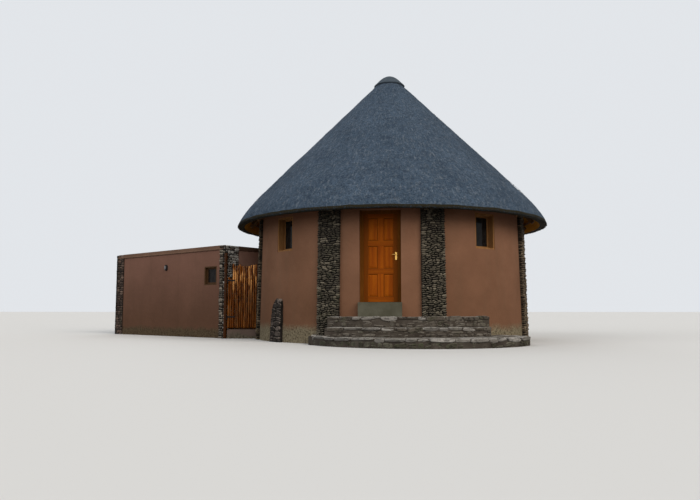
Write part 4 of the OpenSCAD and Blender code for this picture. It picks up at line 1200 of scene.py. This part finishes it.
def make_gate():
    """The gate's own frame has its origin at the post, +Y towards the hut's axis and +X to the front."""
    post = Vector(annex_point(POST_R - POST_FLAT, POST_FRONT, 0))
    inward = -post.normalized()
    front = Vector((inward.y, -inward.x, 0))
    low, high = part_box("gate_leaf")
    far = points_of("gate_leaf")
    along = (far[:, 0] - post.x) * inward.x + (far[:, 1] - post.y) * inward.y
    start = POST_R + POST_GAP + STICK_R
    end = float(along.max()) - STICK_R
    rng = random.Random("gate")

    def line(count, path):
        """The points of a pole whose path gives its y, x and z for shares of its length."""
        places = [path(t) for t in np.linspace(0, 1, count)]
        return [post + inward * y + front * x + Vector((0, 0, z)) for y, x, z in places]

    def wave(*place):
        return noise.noise(Vector(place))

    build = Build()
    for k in range(STICKS):
        middle = start + (end - start) * k / (STICKS - 1)
        freedom = 0.014 if 0 < k < STICKS - 1 else 0.005
        top = (SHORT_TOP if k < SHORT_STICKS else high.z) - rng.uniform(0, 0.07)
        bottom = low.z + rng.uniform(0.0, 0.012)
        phase = rng.uniform(0, 30)
        lean = rng.uniform(-0.003, 0.003)

        def stick_path(t):
            z = bottom + (top - bottom) * t
            sway = wave(phase, z * 2.1, 0) * freedom + lean * (t - 0.5)
            return middle + sway, wave(phase + 9, z * 2.6, 0) * 0.009 - 0.002, z

        knots = [rng.random() for _ in range(4)]
        base_r = rng.uniform(0.0255, 0.0300)

        def stick_radius(t):
            swell = sum(math.exp(-((t - knot) / 0.018) ** 2) for knot in knots)
            return base_r * (1 - 0.10 * t) + 0.0022 * min(swell, 1.2)

        pole(build, rng, line(34, stick_path), stick_radius, 12, rng.uniform(0.38, 1.0), 0.09)
    rail_x = 0.004 - (STICK_R + RAIL_R - RAIL_LET_IN)
    rail_from = start - STICK_R / 2
    rail_length = end + STICK_R / 2 - start + STICK_R / 2
    for rail_z in (low.z + RAIL_FROM_BOTTOM, (low.z + high.z) / 2, high.z - RAIL_FROM_TOP):
        phase = rng.uniform(0, 30)

        def rail_path(t):
            return rail_from + rail_length * t, rail_x, rail_z + wave(phase, t * 4, 0) * 0.006

        pole(build, rng, line(26, rail_path), lambda t: RAIL_R * 0.9, 12, rng.random() * 0.5, 0.08)
    build.finish("gate_sticks", "gate", "stick_timber", ["varnished_sticks"], ["gate_leaf"], smooth=True)
    post_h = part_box("gate_post")[1].z
    upright = line(40, lambda t: (wave(3, t * 5, 0) * 0.004 + 0.002, 0.0, post_h * t))
    build = Build()
    pole(build, rng, upright, lambda t: POST_R * (0.97 - 0.08 * t), 16, 0.0, 0.07)
    build.finish("gate_pole", "hut", "stick_timber", ["varnished_sticks"], ["gate_post"], smooth=True)


# Stage and light
FLOOR_REACH = 400
FLOOR_SEEN = (0.66, 0.655, 0.64)
FLOOR_LIT = (0.20, 0.19, 0.18)
SKY_COLOUR = (0.93, 0.96, 1.0, 1)
SKY_LIGHT = 0.42
SKY_SEEN = 0.82


def make_stage():
    """A plain pale floor that stays modest in the light it throws back."""
    mesh = bpy.data.meshes.new("floor")
    corners = [(x * FLOOR_REACH, y * FLOOR_REACH, 0) for x, y in ((-1, -1), (1, -1), (1, 1), (-1, 1))]
    mesh.from_pydata(corners, [], [(0, 1, 2, 3)])
    floor = bpy.data.objects.new("floor", mesh)
    bpy.context.scene.collection.objects.link(floor)
    f = Finish("studio_floor")
    rays = f.add("ShaderNodeLightPath").outputs
    mirrored = f.calc("MAXIMUM", rays["Is Glossy Ray"], rays["Is Transmission Ray"])
    f.colour = f.mix(f.calc("MAXIMUM", rays["Is Camera Ray"], mirrored), FLOOR_LIT, FLOOR_SEEN)
    f.finish(1.0, 0.0)
    mesh.materials.append(f.material)
    floor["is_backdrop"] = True


def add_sun(name, towards, strength, spread, colour):
    """A wide, soft sun that shines from a direction."""
    data = bpy.data.lights.new(name, "SUN")
    data.energy = strength
    data.angle = math.radians(spread)
    data.color = colour
    lamp = bpy.data.objects.new(name, data)
    lamp.rotation_euler = Vector(towards).to_track_quat("Z", "Y").to_euler()
    bpy.context.scene.collection.objects.link(lamp)


def make_lights():
    world = bpy.data.worlds.new("studio")
    bpy.context.scene.world = world
    world.use_nodes = True
    tree = world.node_tree
    back = tree.nodes["Background"]
    back.inputs["Color"].default_value = SKY_COLOUR
    seen = tree.nodes.new("ShaderNodeLightPath")
    strength = tree.nodes.new("ShaderNodeMapRange")
    strength.inputs["To Min"].default_value = SKY_LIGHT
    strength.inputs["To Max"].default_value = SKY_SEEN
    tree.links.new(seen.outputs["Is Camera Ray"], strength.inputs["Value"])
    tree.links.new(strength.outputs["Result"], back.inputs["Strength"])
    add_sun("key", (12, -11, 9.5), 2.12, 40, (1.0, 0.93, 0.84))
    add_sun("fill", (-13, -10, 8), 1.08, 50, (0.96, 0.98, 1.0))
    add_sun("front", (4, -16, 4), 0.55, 30, (1.0, 0.97, 0.93))
    add_sun("rear", (-3, 12, 11), 0.7, 40, (0.95, 0.97, 1.0))
    bpy.context.scene.view_settings.view_transform = "Standard"


def write_sizes():
    boxes = {"cad": cad_box, "visual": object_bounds()}
    plain = {name: [list(low), list(high)] for name, (low, high) in boxes.items()}


make_camera()
make_lights()
make_stage()
make_finishes()
dress_nodes()
make_pilasters()
make_stub()
make_annex_corners()
make_coping_edge()
make_lamp()
make_steps()
profile_rows = roof_profile()
make_thatch(profile_rows)
make_straw(profile_rows)
make_door()
make_gate()
write_sizes()
